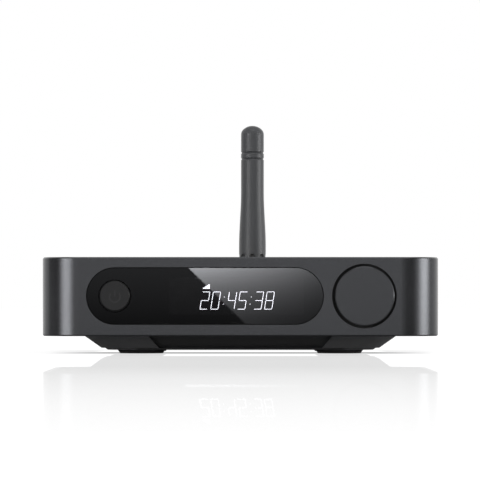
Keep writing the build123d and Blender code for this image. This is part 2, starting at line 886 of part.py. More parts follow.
def make_usb_c_tongue():
    """The contact tongue in the middle of the power inlet."""
    centre_z = board_top + usb_c_height / 2
    start = back_y + usb_c_proud - usb_c_depth + overrun
    outline = Rectangle(usb_c_tongue_width, usb_c_tongue_thickness)
    return plate_y(outline, start, back_y - usb_c_proud, usb_c_x, centre_z)


def make_lan_socket():
    """The network socket: a shell round a stepped mouth with a latch slot."""
    half = lan_width / 2
    start = back_y - lan_depth
    body = block(lan_x - half, lan_x + half, start, back_y, board_top, board_top + lan_height)
    mouth_low = board_top + lan_mouth_rise
    half_mouth = lan_mouth_width / 2
    body -= block(lan_x - half_mouth, lan_x + half_mouth, back_y - lan_mouth_depth,
                  back_y + overrun, mouth_low, mouth_low + lan_mouth_height)
    half_latch = lan_latch_width / 2
    body -= block(lan_x - half_latch, lan_x + half_latch, back_y - lan_mouth_depth / 2,
                  back_y + overrun, mouth_low - lan_latch_height, mouth_low)
    return body


def make_lan_contacts():
    """Eight sprung contacts that slope down from the mouth's ceiling."""
    ceiling_z = board_top + lan_mouth_rise + lan_mouth_height
    half = lan_contact_width / 2
    rear = back_y - lan_mouth_depth
    front = rear + lan_mouth_depth / 2
    low = ceiling_z - lan_contact_drop
    outline = Polygon((rear, low), (rear, low + lan_contact_width),
                      (front, ceiling_z), (front + lan_contact_width, ceiling_z), align=None)
    side = Plane(origin=(0, 0, 0), x_dir=(0, 1, 0), z_dir=(1, 0, 0))
    contacts = []
    for step in range(lan_contact_count):
        x = lan_x + (step - (lan_contact_count - 1) / 2) * lan_contact_pitch
        contacts.append(Pos(x - half, 0, 0) * extrude(side * outline, lan_contact_width))
    return contacts


def usb_a_levels():
    """The data socket's middle height and its two ends on Y."""
    centre_z = board_top + usb_a_rise + usb_a_height / 2
    end = back_y + usb_a_proud
    return centre_z, end - usb_a_depth, end


def make_usb_a_shell():
    """The folded metal shell of the data socket."""
    centre_z, start, end = usb_a_levels()
    outer = Rectangle(usb_a_width, usb_a_height)
    shell = plate_y(fillet(outer.vertices(), usb_a_wall), start, end, usb_a_x, centre_z)
    inner = Rectangle(usb_a_width - 2 * usb_a_wall, usb_a_height - 2 * usb_a_wall)
    shell -= plate_y(inner, start - overrun, end + overrun, usb_a_x, centre_z)
    leg_half = usb_a_width / 2
    for side in (-leg_half, leg_half - usb_a_wall):
        shell += block(usb_a_x + side, usb_a_x + side + usb_a_wall, start,
                       start + usb_a_depth / 2, board_top, centre_z)
    return shell


def make_usb_a_tongue():
    """The data socket's contact block, with its tongue under the shell's ceiling."""
    centre_z, start, end = usb_a_levels()
    inner_width = usb_a_width - 2 * usb_a_wall - 2 * slip_gap
    inner_height = usb_a_height - 2 * usb_a_wall - 2 * slip_gap
    block_end = start + usb_a_block
    piece = plate_y(Rectangle(inner_width, inner_height), start, block_end, usb_a_x, centre_z)
    top = centre_z + inner_height / 2 - usb_a_tongue_drop
    half = usb_a_tongue_width / 2
    return piece + block(usb_a_x - half, usb_a_x + half, block_end - slip_gap,
                         end - usb_a_proud - usb_a_wall, top - usb_a_tongue_thickness, top)


def optical_levels():
    """The optical socket's mouth: its low and high edge, and its rear end on Y."""
    mouth_low = board_top + (optical_height - optical_mouth_height) / 2
    return mouth_low, mouth_low + optical_mouth_height, back_y - optical_mouth_depth


def shutter_axis():
    """The place of the shutter's pin on Y and Z."""
    _, mouth_high, _ = optical_levels()
    return back_y - shutter_sink - shutter_thickness / 2, mouth_high - shutter_pin_drop


def make_optical_socket():
    """The optical output's housing, with a deep mouth and bores for the shutter's pin."""
    half = optical_width / 2
    body = block(optical_x - half, optical_x + half, back_y - optical_depth, back_y, board_top,
                 board_top + optical_height)
    mouth_low, mouth_high, mouth_end = optical_levels()
    half_mouth = optical_mouth_width / 2
    body -= block(optical_x - half_mouth, optical_x + half_mouth, mouth_end, back_y + overrun,
                  mouth_low, mouth_high)
    pin_y, pin_z = shutter_axis()
    reach = half_mouth + overrun + slip_gap
    return body - rod_x(shutter_pin_radius + slip_gap, optical_x - reach, optical_x + reach,
                        pin_y, pin_z)


def make_optical_shutter():
    """The little door across the optical mouth, with a round barrel on its pin."""
    mouth_low, _, _ = optical_levels()
    pin_y, pin_z = shutter_axis()
    half = optical_mouth_width / 2 - shutter_gap
    half_thick = shutter_thickness / 2
    door = block(optical_x - half, optical_x + half, pin_y - half_thick, pin_y + half_thick,
                 mouth_low + shutter_gap, pin_z)
    barrel_radius = shutter_pin_drop - shutter_gap
    door += rod_x(barrel_radius, optical_x - half, optical_x + half, pin_y, pin_z)
    return door - rod_x(shutter_pin_radius + slip_gap, optical_x - half - overrun,
                        optical_x + half + overrun, pin_y, pin_z)


def make_shutter_pin():
    """The steel pin that the optical shutter swings on."""
    pin_y, pin_z = shutter_axis()
    reach = optical_mouth_width / 2 + overrun
    return rod_x(shutter_pin_radius, optical_x - reach, optical_x + reach, pin_y, pin_z)


def make_optical_emitter():
    """The light source at the bottom of the optical mouth."""
    mouth_low, mouth_high, mouth_end = optical_levels()
    middle_z = (mouth_low + mouth_high) / 2
    return rod_y(emitter_radius, mouth_end, mouth_end + emitter_proud, optical_x, middle_z)


def jack_body(x_from, x_to):
    """The moulded body behind one or two round audio jacks."""
    body = block(x_from, x_to, lap_y - jack_body_depth, lap_y, board_top,
                 board_top + jack_body_height)
    return body


def make_coax_jack_body():
    """The coaxial digital jack's body."""
    half = jack_body_width / 2
    return jack_body(coax_x - half, coax_x + half)


def make_line_jack_body():
    """The one body that both analogue jacks share."""
    half = jack_body_width / 2
    return jack_body(right_jack_x - half, left_jack_x + half)


def make_jack_shell(x):
    """A round jack's metal barrel, from its body through the panel, with a flange outside."""
    end = back_y + jack_proud
    barrel = rod_y(jack_shell_radius, lap_y, end, x, jack_axis_z)
    barrel = chamfer(barrel.edges().group_by(Axis.Y)[-1], jack_shell_wall / 2)
    barrel += rod_y(jack_flange_radius, back_y, back_y + jack_flange, x, jack_axis_z)
    return barrel - rod_y(jack_shell_radius - jack_shell_wall, lap_y - overrun, end + overrun, x,
                          jack_axis_z)


def make_jack_insert(x):
    """A round jack's insulator, with the bore for the plug's pin."""
    radius = jack_shell_radius - jack_shell_wall - slip_gap
    end = back_y + jack_proud - jack_insert_sink
    insert = rod_y(radius, lap_y, end, x, jack_axis_z)
    return insert - rod_y(jack_contact_radius, lap_y + jack_flange, end + overrun, x, jack_axis_z)


def hexagon_y(flats, y_from, y_to, x, z):
    """A hexagonal prism along Y, with flats above and below."""
    outline = RegularPolygon(flats / 2, 6, major_radius=False, rotation=30)
    return plate_y(outline, y_from, y_to, x, z)


def antenna_rod(radius, from_reach, to_reach):
    """A cylinder on the antenna jack's axis, between two distances behind the case."""
    return rod_y(radius, back_y + from_reach, back_y + to_reach, antenna_x, antenna_axis_z)


def make_antenna_jack():
    """The threaded jack, with its head inside the panel and a bore in its outer end."""
    inner = lap_y - back_y
    jack = antenna_rod(jack_thread_radius, inner - slip_gap, jack_thread_length)
    jack = chamfer(jack.edges().group_by(Axis.Y)[-1], thread_pitch / 2)
    jack += antenna_rod(jack_head_radius, inner - jack_head, inner)
    jack += antenna_rod(jack_tail_radius, inner - jack_head - jack_tail, inner - jack_head)
    bore_start = jack_thread_length - jack_bore_depth
    return jack - antenna_rod(jack_bore_radius, bore_start, jack_thread_length + overrun)


def make_antenna_jack_washer():
    """The washer between the rear panel and the jack's nut."""
    washer = antenna_rod(jack_washer_radius, 0, washer_end)
    return washer - antenna_rod(jack_thread_radius + slip_gap, -overrun, washer_end + overrun)


def make_antenna_jack_nut():
    """The hexagonal nut that holds the jack on the rear panel."""
    nut = hexagon_y(hex_flats, back_y + washer_end, back_y + nut_end, antenna_x, antenna_axis_z)
    return nut - antenna_rod(jack_thread_radius + slip_gap, 0, nut_end + overrun)


def make_antenna_lead():
    """The thin coaxial lead from the antenna jack to the radio."""
    can_x, can_y, can_low = shield_place()
    start_y = lap_y - jack_head - jack_tail
    plug_y = can_y + can_depth / 2 + lead_plug_radius + seat_gap
    plug_top = can_low + lead_plug_height
    path = FilletPolyline((antenna_x, start_y, antenna_axis_z),
                          (antenna_x, start_y - lead_run, antenna_axis_z),
                          (can_x, plug_y + lead_bend, antenna_axis_z),
                          (can_x, plug_y, antenna_axis_z),
                          (can_x, plug_y, plug_top), radius=lead_bend / 3)
    section = Plane(origin=path @ 0, z_dir=path % 0) * Circle(lead_radius)
    lead = sweep(section, path=path)
    return lead + rod_z(lead_plug_radius, can_low, plug_top, can_x, plug_y)


def make_coupling_nut():
    """The turning collar that screws the antenna on the jack, with grips round it."""
    nut = antenna_rod(coupling_radius, coupling_start, coupling_end)
    ends = nut.edges().group_by(Axis.Y)
    nut = chamfer(ends[0] + ends[-1], thread_pitch / 2)
    for step in range(coupling_grips):
        angle = radians(360 / coupling_grips * step)
        grip_x = antenna_x + coupling_radius * cos(angle)
        grip_z = antenna_axis_z + coupling_radius * sin(angle)
        nut -= rod_y(coupling_grip_radius, back_y + coupling_start - overrun,
                     back_y + coupling_end + overrun, grip_x, grip_z)
    bore_end = coupling_end - coupling_wall
    nut -= antenna_rod(jack_thread_radius + slip_gap, coupling_start - overrun, bore_end)
    return nut - antenna_rod(ferrule_stem_radius + slip_gap, coupling_start, coupling_end + overrun)


def make_antenna_ferrule():
    """The plug inside the coupling nut, whose stem carries the elbow."""
    flange_end = coupling_end - coupling_wall - slip_gap
    flange_start = flange_end - ferrule_flange
    boss_start = jack_thread_length - jack_bore_depth + seat_gap
    ferrule = antenna_rod(ferrule_boss_radius, boss_start, flange_start)
    ferrule += antenna_rod(ferrule_flange_radius, flange_start, flange_end)
    return ferrule + antenna_rod(ferrule_stem_radius, flange_end, elbow_start + ferrule_stem_reach)


def make_antenna_elbow():
    """The swivelling knuckle: a round body on the ferrule's stem and a tongue for the hinge."""
    body = antenna_rod(elbow_radius, elbow_start, elbow_end)
    body = chamfer(body.edges().group_by(Axis.Y)[0], hinge_gap)
    tongue = antenna_rod(elbow_radius, elbow_end - slip_gap, pivot_reach)
    half = tongue_thickness / 2
    tongue += rod_x(elbow_radius, antenna_x - half, antenna_x + half, pivot_y, antenna_axis_z)
    tongue &= block(antenna_x - half, antenna_x + half, back_y, pivot_y + elbow_radius,
                    antenna_axis_z - elbow_radius, antenna_axis_z + elbow_radius)
    elbow = body + tongue
    elbow -= rod_x(hinge_pin_radius + slip_gap, antenna_x - elbow_radius,
                   antenna_x + elbow_radius, pivot_y, antenna_axis_z)
    bore_end = elbow_start + ferrule_stem_reach + seat_gap
    return elbow - antenna_rod(ferrule_stem_radius + slip_gap, elbow_start - overrun, bore_end)


def make_hinge_pin():
    """The pin that the whip tilts on."""
    reach = whip_low_radius - fork_gap
    return rod_x(hinge_pin_radius, antenna_x - reach, antenna_x + reach, pivot_y, antenna_axis_z)


def whip_profile():
    """Half of the whip's upright section, from the hinge end to the domed tip."""
    dome_start = whip_length - whip_dome
    low = -whip_low_radius
    edge = [CenterArc((0, 0), whip_low_radius, -90, 90),
            Line((whip_low_radius, 0), (whip_low_radius, whip_taper_start)),
            Spline((whip_low_radius, whip_taper_start), (whip_top_radius, whip_taper_end),
                   tangents=((0, 1), (0, 1)))]
    below = whip_taper_end
    for groove in (groove_low, groove_high):
        start, end = groove - groove_half_width, groove + groove_half_width
        bottom = whip_top_radius - groove_depth
        edge += [Line((whip_top_radius, below), (whip_top_radius, start)),
                 Line((whip_top_radius, start), (bottom, groove)),
                 Line((bottom, groove), (whip_top_radius, end))]
        below = end
    shoulder = (whip_top_radius * cos(radians(45)), dome_start + whip_dome * sin(radians(45)))
    edge += [Line((whip_top_radius, below), (whip_top_radius, dome_start)),
             Spline((whip_top_radius, dome_start), shoulder, (0, whip_length),
                    tangents=((0, 1), (-1, 0))),
             Line((0, whip_length), (0, low))]
    return make_face(edge)


def make_antenna_whip():
    """The aerial's sleeve: tapered, grooved and domed, with grip flutes and a forked hinge end."""
    pivot = (antenna_x, pivot_y, antenna_axis_z)
    upright = Plane(origin=pivot, x_dir=(1, 0, 0), z_dir=(0, -1, 0))
    whip = revolve(upright * whip_profile(), Axis(pivot, (0, 0, 1)))
    half_slot = tongue_thickness / 2 + fork_gap
    whip -= block(antenna_x - half_slot, antenna_x + half_slot, pivot_y - 2 * whip_low_radius,
                  pivot_y + 2 * whip_low_radius, antenna_axis_z - 2 * whip_low_radius,
                  antenna_axis_z + whip_slot)
    whip -= rod_x(hinge_pin_radius, antenna_x - 2 * whip_low_radius,
                  antenna_x + 2 * whip_low_radius, pivot_y, antenna_axis_z)
    reach = whip_low_radius + flute_radius - flute_depth
    for step in range(flute_count):
        angle = radians(360 / flute_count * step)
        x = antenna_x + reach * cos(angle)
        y = pivot_y + reach * sin(angle)
        top = antenna_axis_z + flute_top - flute_radius
        flute = rod_z(flute_radius, antenna_axis_z + flute_low, top, x, y)
        whip -= flute + Pos(x, y, top) * Sphere(flute_radius)
    return whip


def all_nodes():
    """Every node's name and its solid or list of solids."""
    nodes = {
        "upper_case": make_upper_case(),
        "rear_panel": make_rear_panel(),
        "base_pan": make_base_pan(),
        "case_screws": make_case_screws(),
        "panel_screws": make_panel_screws(),
        "board_screws": make_board_screws(),
        "front_board_screws": make_front_board_screws(),
        "window_panel": make_window_panel(),
        "power_button": make_power_button(),
        "switch_body": make_switch_body(),
        "switch_plunger": make_switch_plunger(),
        "display_module": make_display_module(),
        "display_holder": make_display_holder(),
        "front_board": make_front_board(),
        "volume_knob": make_volume_knob(),
        "encoder_shaft": make_encoder_shaft(),
        "encoder_rotor": make_encoder_rotor(),
        "encoder_body": make_encoder_body(),
        "encoder_bushing": make_encoder_bushing(),
        "main_board": make_main_board(),
        "processor_module": make_processor_module(),
        "module_connectors": make_module_connectors(),
        "chips": make_chips(),
        "thermal_pad": make_thermal_pad(),
        "heat_sink": make_heat_sink(),
        "shield_can": make_shield_can(),
        "capacitors": make_capacitors(),
        "ribbon_sockets": make_ribbon_sockets(),
        "ribbon_cable": make_ribbon_cable(),
        "usb_c_shell": make_usb_c_shell(),
        "usb_c_tongue": make_usb_c_tongue(),
        "lan_socket": make_lan_socket(),
        "lan_contacts": make_lan_contacts(),
        "usb_a_shell": make_usb_a_shell(),
        "usb_a_tongue": make_usb_a_tongue(),
        "optical_socket": make_optical_socket(),
        "optical_shutter": make_optical_shutter(),
        "shutter_pin": make_shutter_pin(),
        "optical_emitter": make_optical_emitter(),
        "coax_jack_body": make_coax_jack_body(),
        "line_jack_body": make_line_jack_body(),
        "antenna_jack": make_antenna_jack(),
        "antenna_jack_washer": make_antenna_jack_washer(),
        "antenna_jack_nut": make_antenna_jack_nut(),
        "antenna_lead": make_antenna_lead(),
        "antenna_coupling_nut": make_coupling_nut(),
        "antenna_ferrule": make_antenna_ferrule(),
        "antenna_elbow": make_antenna_elbow(),
        "antenna_hinge_pin": make_hinge_pin(),
        "antenna_whip": make_antenna_whip(),
    }
    for name, x in (("coax", coax_x), ("left", left_jack_x), ("right", right_jack_x)):
        nodes[name + "_jack_shell"] = make_jack_shell(x)
        nodes[name + "_jack_insert"] = make_jack_insert(x)
    foot_names = ("foot_front_left", "foot_rear_left", "foot_front_right", "foot_rear_right")
    for name, (x, y) in zip(foot_names, corners(foot_x, foot_y)):
        nodes[name] = make_foot(x, y)
    return nodes


os.makedirs("parts", exist_ok=True)
for node_name, shape in all_nodes().items():
    if isinstance(shape, list):
        solids = [solid for piece in shape for solid in piece.solids()]
        shape = Compound(children=solids)
    export_step(shape, "parts/" + node_name + ".step")
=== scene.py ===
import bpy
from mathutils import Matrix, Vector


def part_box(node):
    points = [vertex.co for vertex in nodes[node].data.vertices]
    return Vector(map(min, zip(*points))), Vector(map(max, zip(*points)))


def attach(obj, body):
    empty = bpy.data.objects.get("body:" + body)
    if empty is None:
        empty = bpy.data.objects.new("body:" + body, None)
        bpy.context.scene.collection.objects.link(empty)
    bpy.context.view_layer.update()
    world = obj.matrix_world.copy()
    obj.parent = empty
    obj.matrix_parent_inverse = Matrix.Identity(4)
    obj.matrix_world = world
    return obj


bl_info = {
    "name": "Network Music Streamer",
    "version": (1, 0, 0),
    "blender": (4, 5, 0),
    "location": "View3D > Sidebar > Streamer",
    "description": "Finishes, display, lighting and camera for a small network music streamer",
    "category": "Object",
}

import math
from contextlib import contextmanager

import bpy
from bpy.props import FloatProperty, FloatVectorProperty, PointerProperty, StringProperty
from mathutils import Matrix, Vector

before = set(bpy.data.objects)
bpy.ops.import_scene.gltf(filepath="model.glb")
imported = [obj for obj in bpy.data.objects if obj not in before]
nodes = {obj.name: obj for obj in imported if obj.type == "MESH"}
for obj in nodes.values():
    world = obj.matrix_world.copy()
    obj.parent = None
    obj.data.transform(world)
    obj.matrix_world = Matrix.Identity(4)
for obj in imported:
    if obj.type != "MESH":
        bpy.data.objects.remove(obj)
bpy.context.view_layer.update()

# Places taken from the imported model
case_low, case_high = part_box("upper_case")
window_low, window_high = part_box("window_panel")
module_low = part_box("display_module")[0]
button_low, button_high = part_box("power_button")
knob_low, knob_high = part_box("volume_knob")
foot_low, foot_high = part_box("foot_front_right")
base_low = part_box("base_pan")[0]
front_y = window_low.y
middle_y = (case_low.y + case_high.y) / 2

# The base's slope, set in from the case's outline at its top and at its foot
plinth_top_inset, plinth_low_inset, step_height = 0.0139, 0.0197, 0.00066


def colour_property(name, description, default):
    """A colour swatch with one default."""
    return FloatVectorProperty(name=name, description=description, default=default,
                               subtype="COLOR", size=3, min=0.0, max=1.0)


def share_property(name, description, default):
    """A share between nought and one."""
    return FloatProperty(name=name, description=description, default=default,
                         subtype="FACTOR", min=0.0, max=1.0)


def length_property(name, description, default):
    """A length in metres."""
    return FloatProperty(name=name, description=description, default=default,
                         unit="LENGTH", subtype="DISTANCE", min=0.0, precision=5)


# Settings


class StreamerCasing(bpy.types.PropertyGroup):
    """Finishes of the case, the base and the feet."""
    case_colour: colour_property("Case colour", "Blasted and dyed metal of the case and the knob",
                                 (0.0595, 0.0608, 0.0645))
    case_roughness: share_property("Case roughness", "How soft the case's reflections are", 0.215)
    case_metal: share_property("Case metal", "How metallic the case's finish is", 1.0)
    panel_colour: colour_property("Panel colour", "Moulded rear panel", (0.022, 0.022, 0.023))
    base_colour: colour_property("Base colour", "Moulded base under the case",
                                 (0.156, 0.156, 0.163))
    # The recess colour is painted shade: the base's recesses are darkened where shadow falls.
    recess_shade_colour: colour_property("Recess colour", "Long recesses in the base's front and back",
                                   (0.054, 0.054, 0.056))
    foot_colour: colour_property("Foot colour", "Rubber of the feet", (0.024, 0.024, 0.024))
    screw_colour: colour_property("Screw colour", "Blackened screws", (0.05, 0.05, 0.052))
    grain_size: length_property("Grain size", "Width of one pit of the blasted surface", 0.00022)


class StreamerDisplay(bpy.types.PropertyGroup):
    """Sizes and colours of the window and the lit characters behind it."""
    reading: StringProperty(name="Reading", description="Digits and colons that the display shows",
                            default="20:45:38")
    digit_height: length_property("Digit height", "Height of one lit digit", 0.0061)
    digit_width: length_property("Digit width", "Width of one lit digit", 0.0027)
    digit_pitch: length_property("Digit pitch", "Distance from one digit to the next", 0.00368)
    stroke: length_property("Stroke", "Width of one lit bar", 0.0002)
    slant: FloatProperty(name="Slant", description="Lean of the digits to the right",
                         default=math.radians(9), subtype="ANGLE", unit="ROTATION")
    centre_x: FloatProperty(name="Centre across", description="Middle of the digits, across",
                            default=-0.0011, unit="LENGTH", subtype="DISTANCE", precision=5)
    centre_z: length_property("Centre height", "Middle of the digits above the table", 0.01832)
    signal_left: length_property("Signal left", "First signal bar, left of the digits' middle",
                                 0.01137)
    signal_up: length_property("Signal up", "Signal bars' feet above the digits' middle", 0.00404)
    glow_colour: colour_property("Glow colour", "Light of the lit bars", (0.97, 0.975, 1.0))
    glow_strength: FloatProperty(name="Glow strength", description="Brightness of the lit bars",
                                 default=46.0, min=0.0)
    seal_width: length_property("Seal width", "Width of the seal round the window", 0.00014)
    seal_depth: length_property("Seal depth", "How far the seal lies back from the front", 0.00005)
    window_tint: colour_property("Window tint", "Smoke in the window", (0.04, 0.04, 0.042))


class StreamerControls(bpy.types.PropertyGroup):
    """The button and the knob."""
    button_colour: colour_property("Button colour", "Satin plastic of the button",
                                   (0.012, 0.012, 0.0125))
    symbol_colour: colour_property("Symbol colour", "Standby sign on the button",
                                   (0.0205, 0.0205, 0.021))
    # The pocket's liner is painted shade: a black cup that stands in for the shade in the gap round
    # the knob.
    pocket_depth: length_property("Pocket depth", "Depth of the knob's pocket", 0.002)
    pocket_gap: length_property("Pocket gap", "Gap round the knob", 0.00095)
    pocket_hole: length_property("Pocket hole", "Hole in the liner round the shaft's collar", 0.0045)
    pocket_lip: length_property("Pocket lip", "How far the liner's edge lies back", 0.00008)
    shade_cup_wall: length_property("Liner wall", "Wall of the pocket's liner", 0.00012)
    symbol_radius: length_property("Symbol radius", "Radius of the standby sign", 0.00205)
    symbol_stroke: length_property("Symbol stroke", "Line width of the standby sign", 0.0005)
    symbol_drop: length_property("Symbol drop", "How far the sign lies below the button's middle",
                                 0.0003)


class StreamerAerial(bpy.types.PropertyGroup):
    """Finishes of the aerial."""
    whip_colour: colour_property("Whip colour", "Satin plastic of the aerial",
                                 (0.045, 0.0465, 0.0495))
    gold_colour: colour_property("Gold colour", "Plated contacts and nuts", (0.8, 0.58, 0.24))


class StreamerInside(bpy.types.PropertyGroup):
    """Colours of the boards and sockets."""
    board_colour: colour_property("Board colour", "Solder mask of the boards",
                                  (0.012, 0.07, 0.035))
    steel_colour: colour_property("Steel colour", "Bright plated steel", (0.62, 0.62, 0.6))
    chip_colour: colour_property("Chip colour", "Moulded black of chips and sockets",
                                 (0.025, 0.025, 0.025))


class StreamerStage(bpy.types.PropertyGroup):
    """Floor, light and camera."""
    camera_distance: length_property("Camera distance", "From the case's front to the camera", 1.5)
    camera_height: length_property("Camera height", "Camera above the table", 0.01986)
    focal_length: FloatProperty(name="Focal length", description="Of the camera, in millimetres",
                                default=329.8, min=1.0)
    camera_pitch: FloatProperty(name="Camera pitch", description="Upward tilt of the camera",
                                default=math.radians(0.73), subtype="ANGLE", unit="ROTATION")
    floor_colour: colour_property("Floor colour", "Pale table top", (0.9, 0.9, 0.9))
    room_level: FloatProperty(name="Room level", description="Even light from all round",
                              default=0.55, min=0.0)


# Helpers for shapes

quarter = math.radians(90)
printed = 0.00004  # thickness of a printed or lit mark
hair = 0.00001  # keeps two faces out of one plane


def nothing_selected():
    """Leaves edit mode and clears the selection."""
    if bpy.context.object and bpy.context.object.mode != "OBJECT":
        bpy.ops.object.mode_set(mode="OBJECT")
    bpy.ops.object.select_all(action="DESELECT")


def only_selected(piece):
    """Makes one piece the only selected and active one."""
    nothing_selected()
    piece.select_set(True)
    bpy.context.view_layer.objects.active = piece


def applied(scale=(1, 1, 1)):
    """The piece that was just added, with its place and size put into its mesh."""
    piece = bpy.context.object
    piece.scale = scale
    bpy.ops.object.transform_apply(location=True, rotation=True, scale=True)
    return piece


def settle(piece, name):
    """Puts a piece's place into its mesh and names it."""
    only_selected(piece)
    applied()
    piece.name = name
    piece.data.name = name
    return piece


def joined(pieces, name):
    """Joins pieces into one."""
    nothing_selected()
    for piece in pieces:
        piece.select_set(True)
    bpy.context.view_layer.objects.active = pieces[0]
    if len(pieces) > 1:
        bpy.ops.object.join()
    return settle(bpy.context.object, name)


def moved(piece, *shift):
    """Moves a piece's mesh."""
    piece.data.transform(Matrix.Translation(shift))
    return piece


def stood(piece):
    """Turns a bar upright."""
    piece.data.transform(Matrix.Rotation(quarter, 4, "Y"))
    return piece


def copied(piece, *shift):
    """A moved copy with its own mesh."""
    twin = piece.copy()
    twin.data = piece.data.copy()
    bpy.context.scene.collection.objects.link(twin)
    return moved(twin, *shift)


def thrown_away(*pieces):
    """Removes the first pieces that copies were made from."""
    for piece in pieces:
        bpy.data.objects.remove(piece)


@contextmanager
def editing(everything=True):
    """Edit mode on the active piece, with all of it selected or the selection as it was."""
    bpy.ops.object.mode_set(mode="EDIT")
    if everything:
        bpy.ops.mesh.select_all(action="SELECT")
    yield bpy.ops.mesh
    bpy.ops.object.mode_set(mode="OBJECT")


def extruded(*way):
    """Extrudes what is selected in edit mode."""
    bpy.ops.mesh.extrude_region_move(TRANSFORM_OT_translate={"value": way})


def outward(piece):
    """Merges doubles and turns all faces outwards."""
    only_selected(piece)
    with editing() as ops:
        ops.remove_doubles(threshold=0.000001)
        ops.normals_make_consistent(inside=False)
    return piece


def upright_plane(width, tall, place=(0, 0, 0), turn=0.0):
    """An upright plane, which faces -Y unless it is turned."""
    nothing_selected()
    bpy.ops.mesh.primitive_plane_add(size=1, location=place, rotation=(quarter, 0, turn))
    return applied((width, tall, 1))


def disc(radius, centre, vertices=128):
    """A flat disc that faces -Y."""
    nothing_selected()
    bpy.ops.mesh.primitive_circle_add(vertices=vertices, radius=radius, fill_type="NGON",
                                      location=centre, rotation=(quarter, 0, 0))
    return applied()


def block(size, centre):
    """A plain block, from which a piece is worked out."""
    nothing_selected()
    bpy.ops.mesh.primitive_cube_add(size=1, location=centre)
    return applied(size)


def bar(length, width, thickness, point=0.44):
    """A flat bar along X, facing -Y. The point is the share of its width cut at each corner."""
    piece = upright_plane(length, width)
    with editing() as ops:
        ops.bevel(offset=width * point, affect="VERTICES", clamp_overlap=True)
        ops.select_all(action="SELECT")
        extruded(0, thickness, 0)
    return outward(piece)


def dressed(piece, body, material):
    """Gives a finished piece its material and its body."""
    piece.data.materials.clear()
    piece.data.materials.append(material)
    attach(piece, body)


# Helpers for finishes


def fed(tree, sockets, values):
    """Feeds sockets from other sockets, or sets them to numbers or colours."""
    for place, value in values.items():
        if isinstance(value, bpy.types.NodeSocket):
            tree.links.new(value, sockets[place])
        else:
            sockets[place].default_value = value


def added(tree, kind, values, **settings):
    """The outputs of a new node, with its settings made and its inputs fed."""
    node = tree.nodes.new(kind)
    for label, value in settings.items():
        setattr(node, label, value)
    fed(tree, node.inputs, values)
    return node.outputs


def maths(tree, operation, *values):
    """A maths node on sockets or numbers. More than two values are taken in turn."""
    if len(values) > 2:
        values = (maths(tree, operation, *values[:-1]), values[-1])
    return added(tree, "ShaderNodeMath", dict(enumerate(values)), operation=operation)[0]


def times(tree, *values):
    """The product of sockets or numbers."""
    return maths(tree, "MULTIPLY", *values)


def plus(tree, *values):
    """The sum of sockets or numbers."""
    return maths(tree, "ADD", *values)


def minus(tree, first, second):
    """The difference of two sockets or numbers."""
    return maths(tree, "SUBTRACT", first, second)


def far_from(tree, value, middle=0.0):
    """How far a value is from a middle."""
    return maths(tree, "ABSOLUTE", minus(tree, value, middle) if middle else value)


def ranged(tree, value, from_low, from_high, to_low=0.0, to_high=1.0):
    """A value carried from one range to another, held at the ends."""
    return added(tree, "ShaderNodeMapRange", {
        "Value": value, "From Min": from_low, "From Max": from_high,
        "To Min": to_low, "To Max": to_high})["Result"]


def stepped(tree, value, at, blur, before=0.0, after=1.0):
    """A soft step where a value passes one place."""
    return ranged(tree, value, at - blur, at + blur, before, after)


def noise(tree, vector, scale, detail=2.0, roughness=0.5):
    """A noise texture on a vector, with its scale from a socket or a number."""
    return added(tree, "ShaderNodeTexNoise", {
        "Vector": vector, "Scale": scale, "Detail": detail, "Roughness": roughness})["Fac"]


def coordinates(tree, kind="Object"):
    """The socket of a piece's own coordinates, or of another kind."""
    return tree.nodes.new("ShaderNodeTexCoord").outputs[kind]


def axes(tree, vector=None):
    """The X, Y and Z sockets of a vector, or of a piece's own coordinates."""
    apart = added(tree, "ShaderNodeSeparateXYZ", {"Vector": vector or coordinates(tree)})
    return [apart[label] for label in "XYZ"]


def mixed(tree, factor, first, second):
    """A mix of two colours, each a socket or a plain colour."""
    ends = [colour if isinstance(colour, bpy.types.NodeSocket) else [*colour, 1]
            for colour in (first, second)]
    return added(tree, "ShaderNodeMix", {"Factor": factor, "A": ends[0], "B": ends[1]},
                 data_type="RGBA")["Result"]


def new_material(name):
    """A material, its tree and the inputs of its shader."""
    material = bpy.data.materials.new(name)
    material.use_nodes = True
    tree = material.node_tree
    return material, tree, tree.nodes["Principled BSDF"].inputs


def recoloured(material, factor, colour):
    """Mixes a second colour into a finished material."""
    tree = material.node_tree
    base = tree.nodes["Principled BSDF"].inputs["Base Color"]
    tree.links.new(mixed(tree, factor, base.links[0].from_socket, colour), base)


def new_group(name, scale):
    """A node group, its vector and scale, and a function that links its height and shade."""
    group = bpy.data.node_groups.new(name, "ShaderNodeTree")
    group.interface.new_socket(name="Vector", in_out="INPUT", socket_type="NodeSocketVector")
    socket = group.interface.new_socket(name="Scale", in_out="INPUT",
                                        socket_type="NodeSocketFloat")
    socket.default_value = scale
    for label in ("Height", "Shade"):
        group.interface.new_socket(name=label, in_out="OUTPUT", socket_type="NodeSocketFloat")
    start = group.nodes.new("NodeGroupInput").outputs
    end = group.nodes.new("NodeGroupOutput").inputs

    def ended(height, shade):
        group.links.new(height, end["Height"])
        group.links.new(shade, end["Shade"])
        return group

    return group, start["Vector"], start["Scale"], ended


def blasted_grain():
    """Fine pits of a blasted or spark-eroded surface, with slow clouding."""
    group, vector, scale, ended = new_group("blasted_grain", 4000.0)
    pits = noise(group, vector, scale, 2.0, 0.6)
    cloud = noise(group, vector, times(group, scale, 0.012), 4.0, 0.55)
    return ended(pits, plus(group, times(group, pits, 0.75), times(group, cloud, 0.25)))


def turned_rings():
    """Fine rings of a turned face or stem round a piece's middle."""
    group, vector, scale, ended = new_group("turned_rings", 6000.0)
    length = added(group, "ShaderNodeVectorMath", {0: vector}, operation="LENGTH")["Value"]
    line = added(group, "ShaderNodeCombineXYZ", {"X": length})["Vector"]
    rings = noise(group, line, scale, 3.0, 0.6)
    smear = noise(group, vector, times(group, scale, 0.05))
    return ended(rings, times(group, plus(group, rings, smear), 0.5))


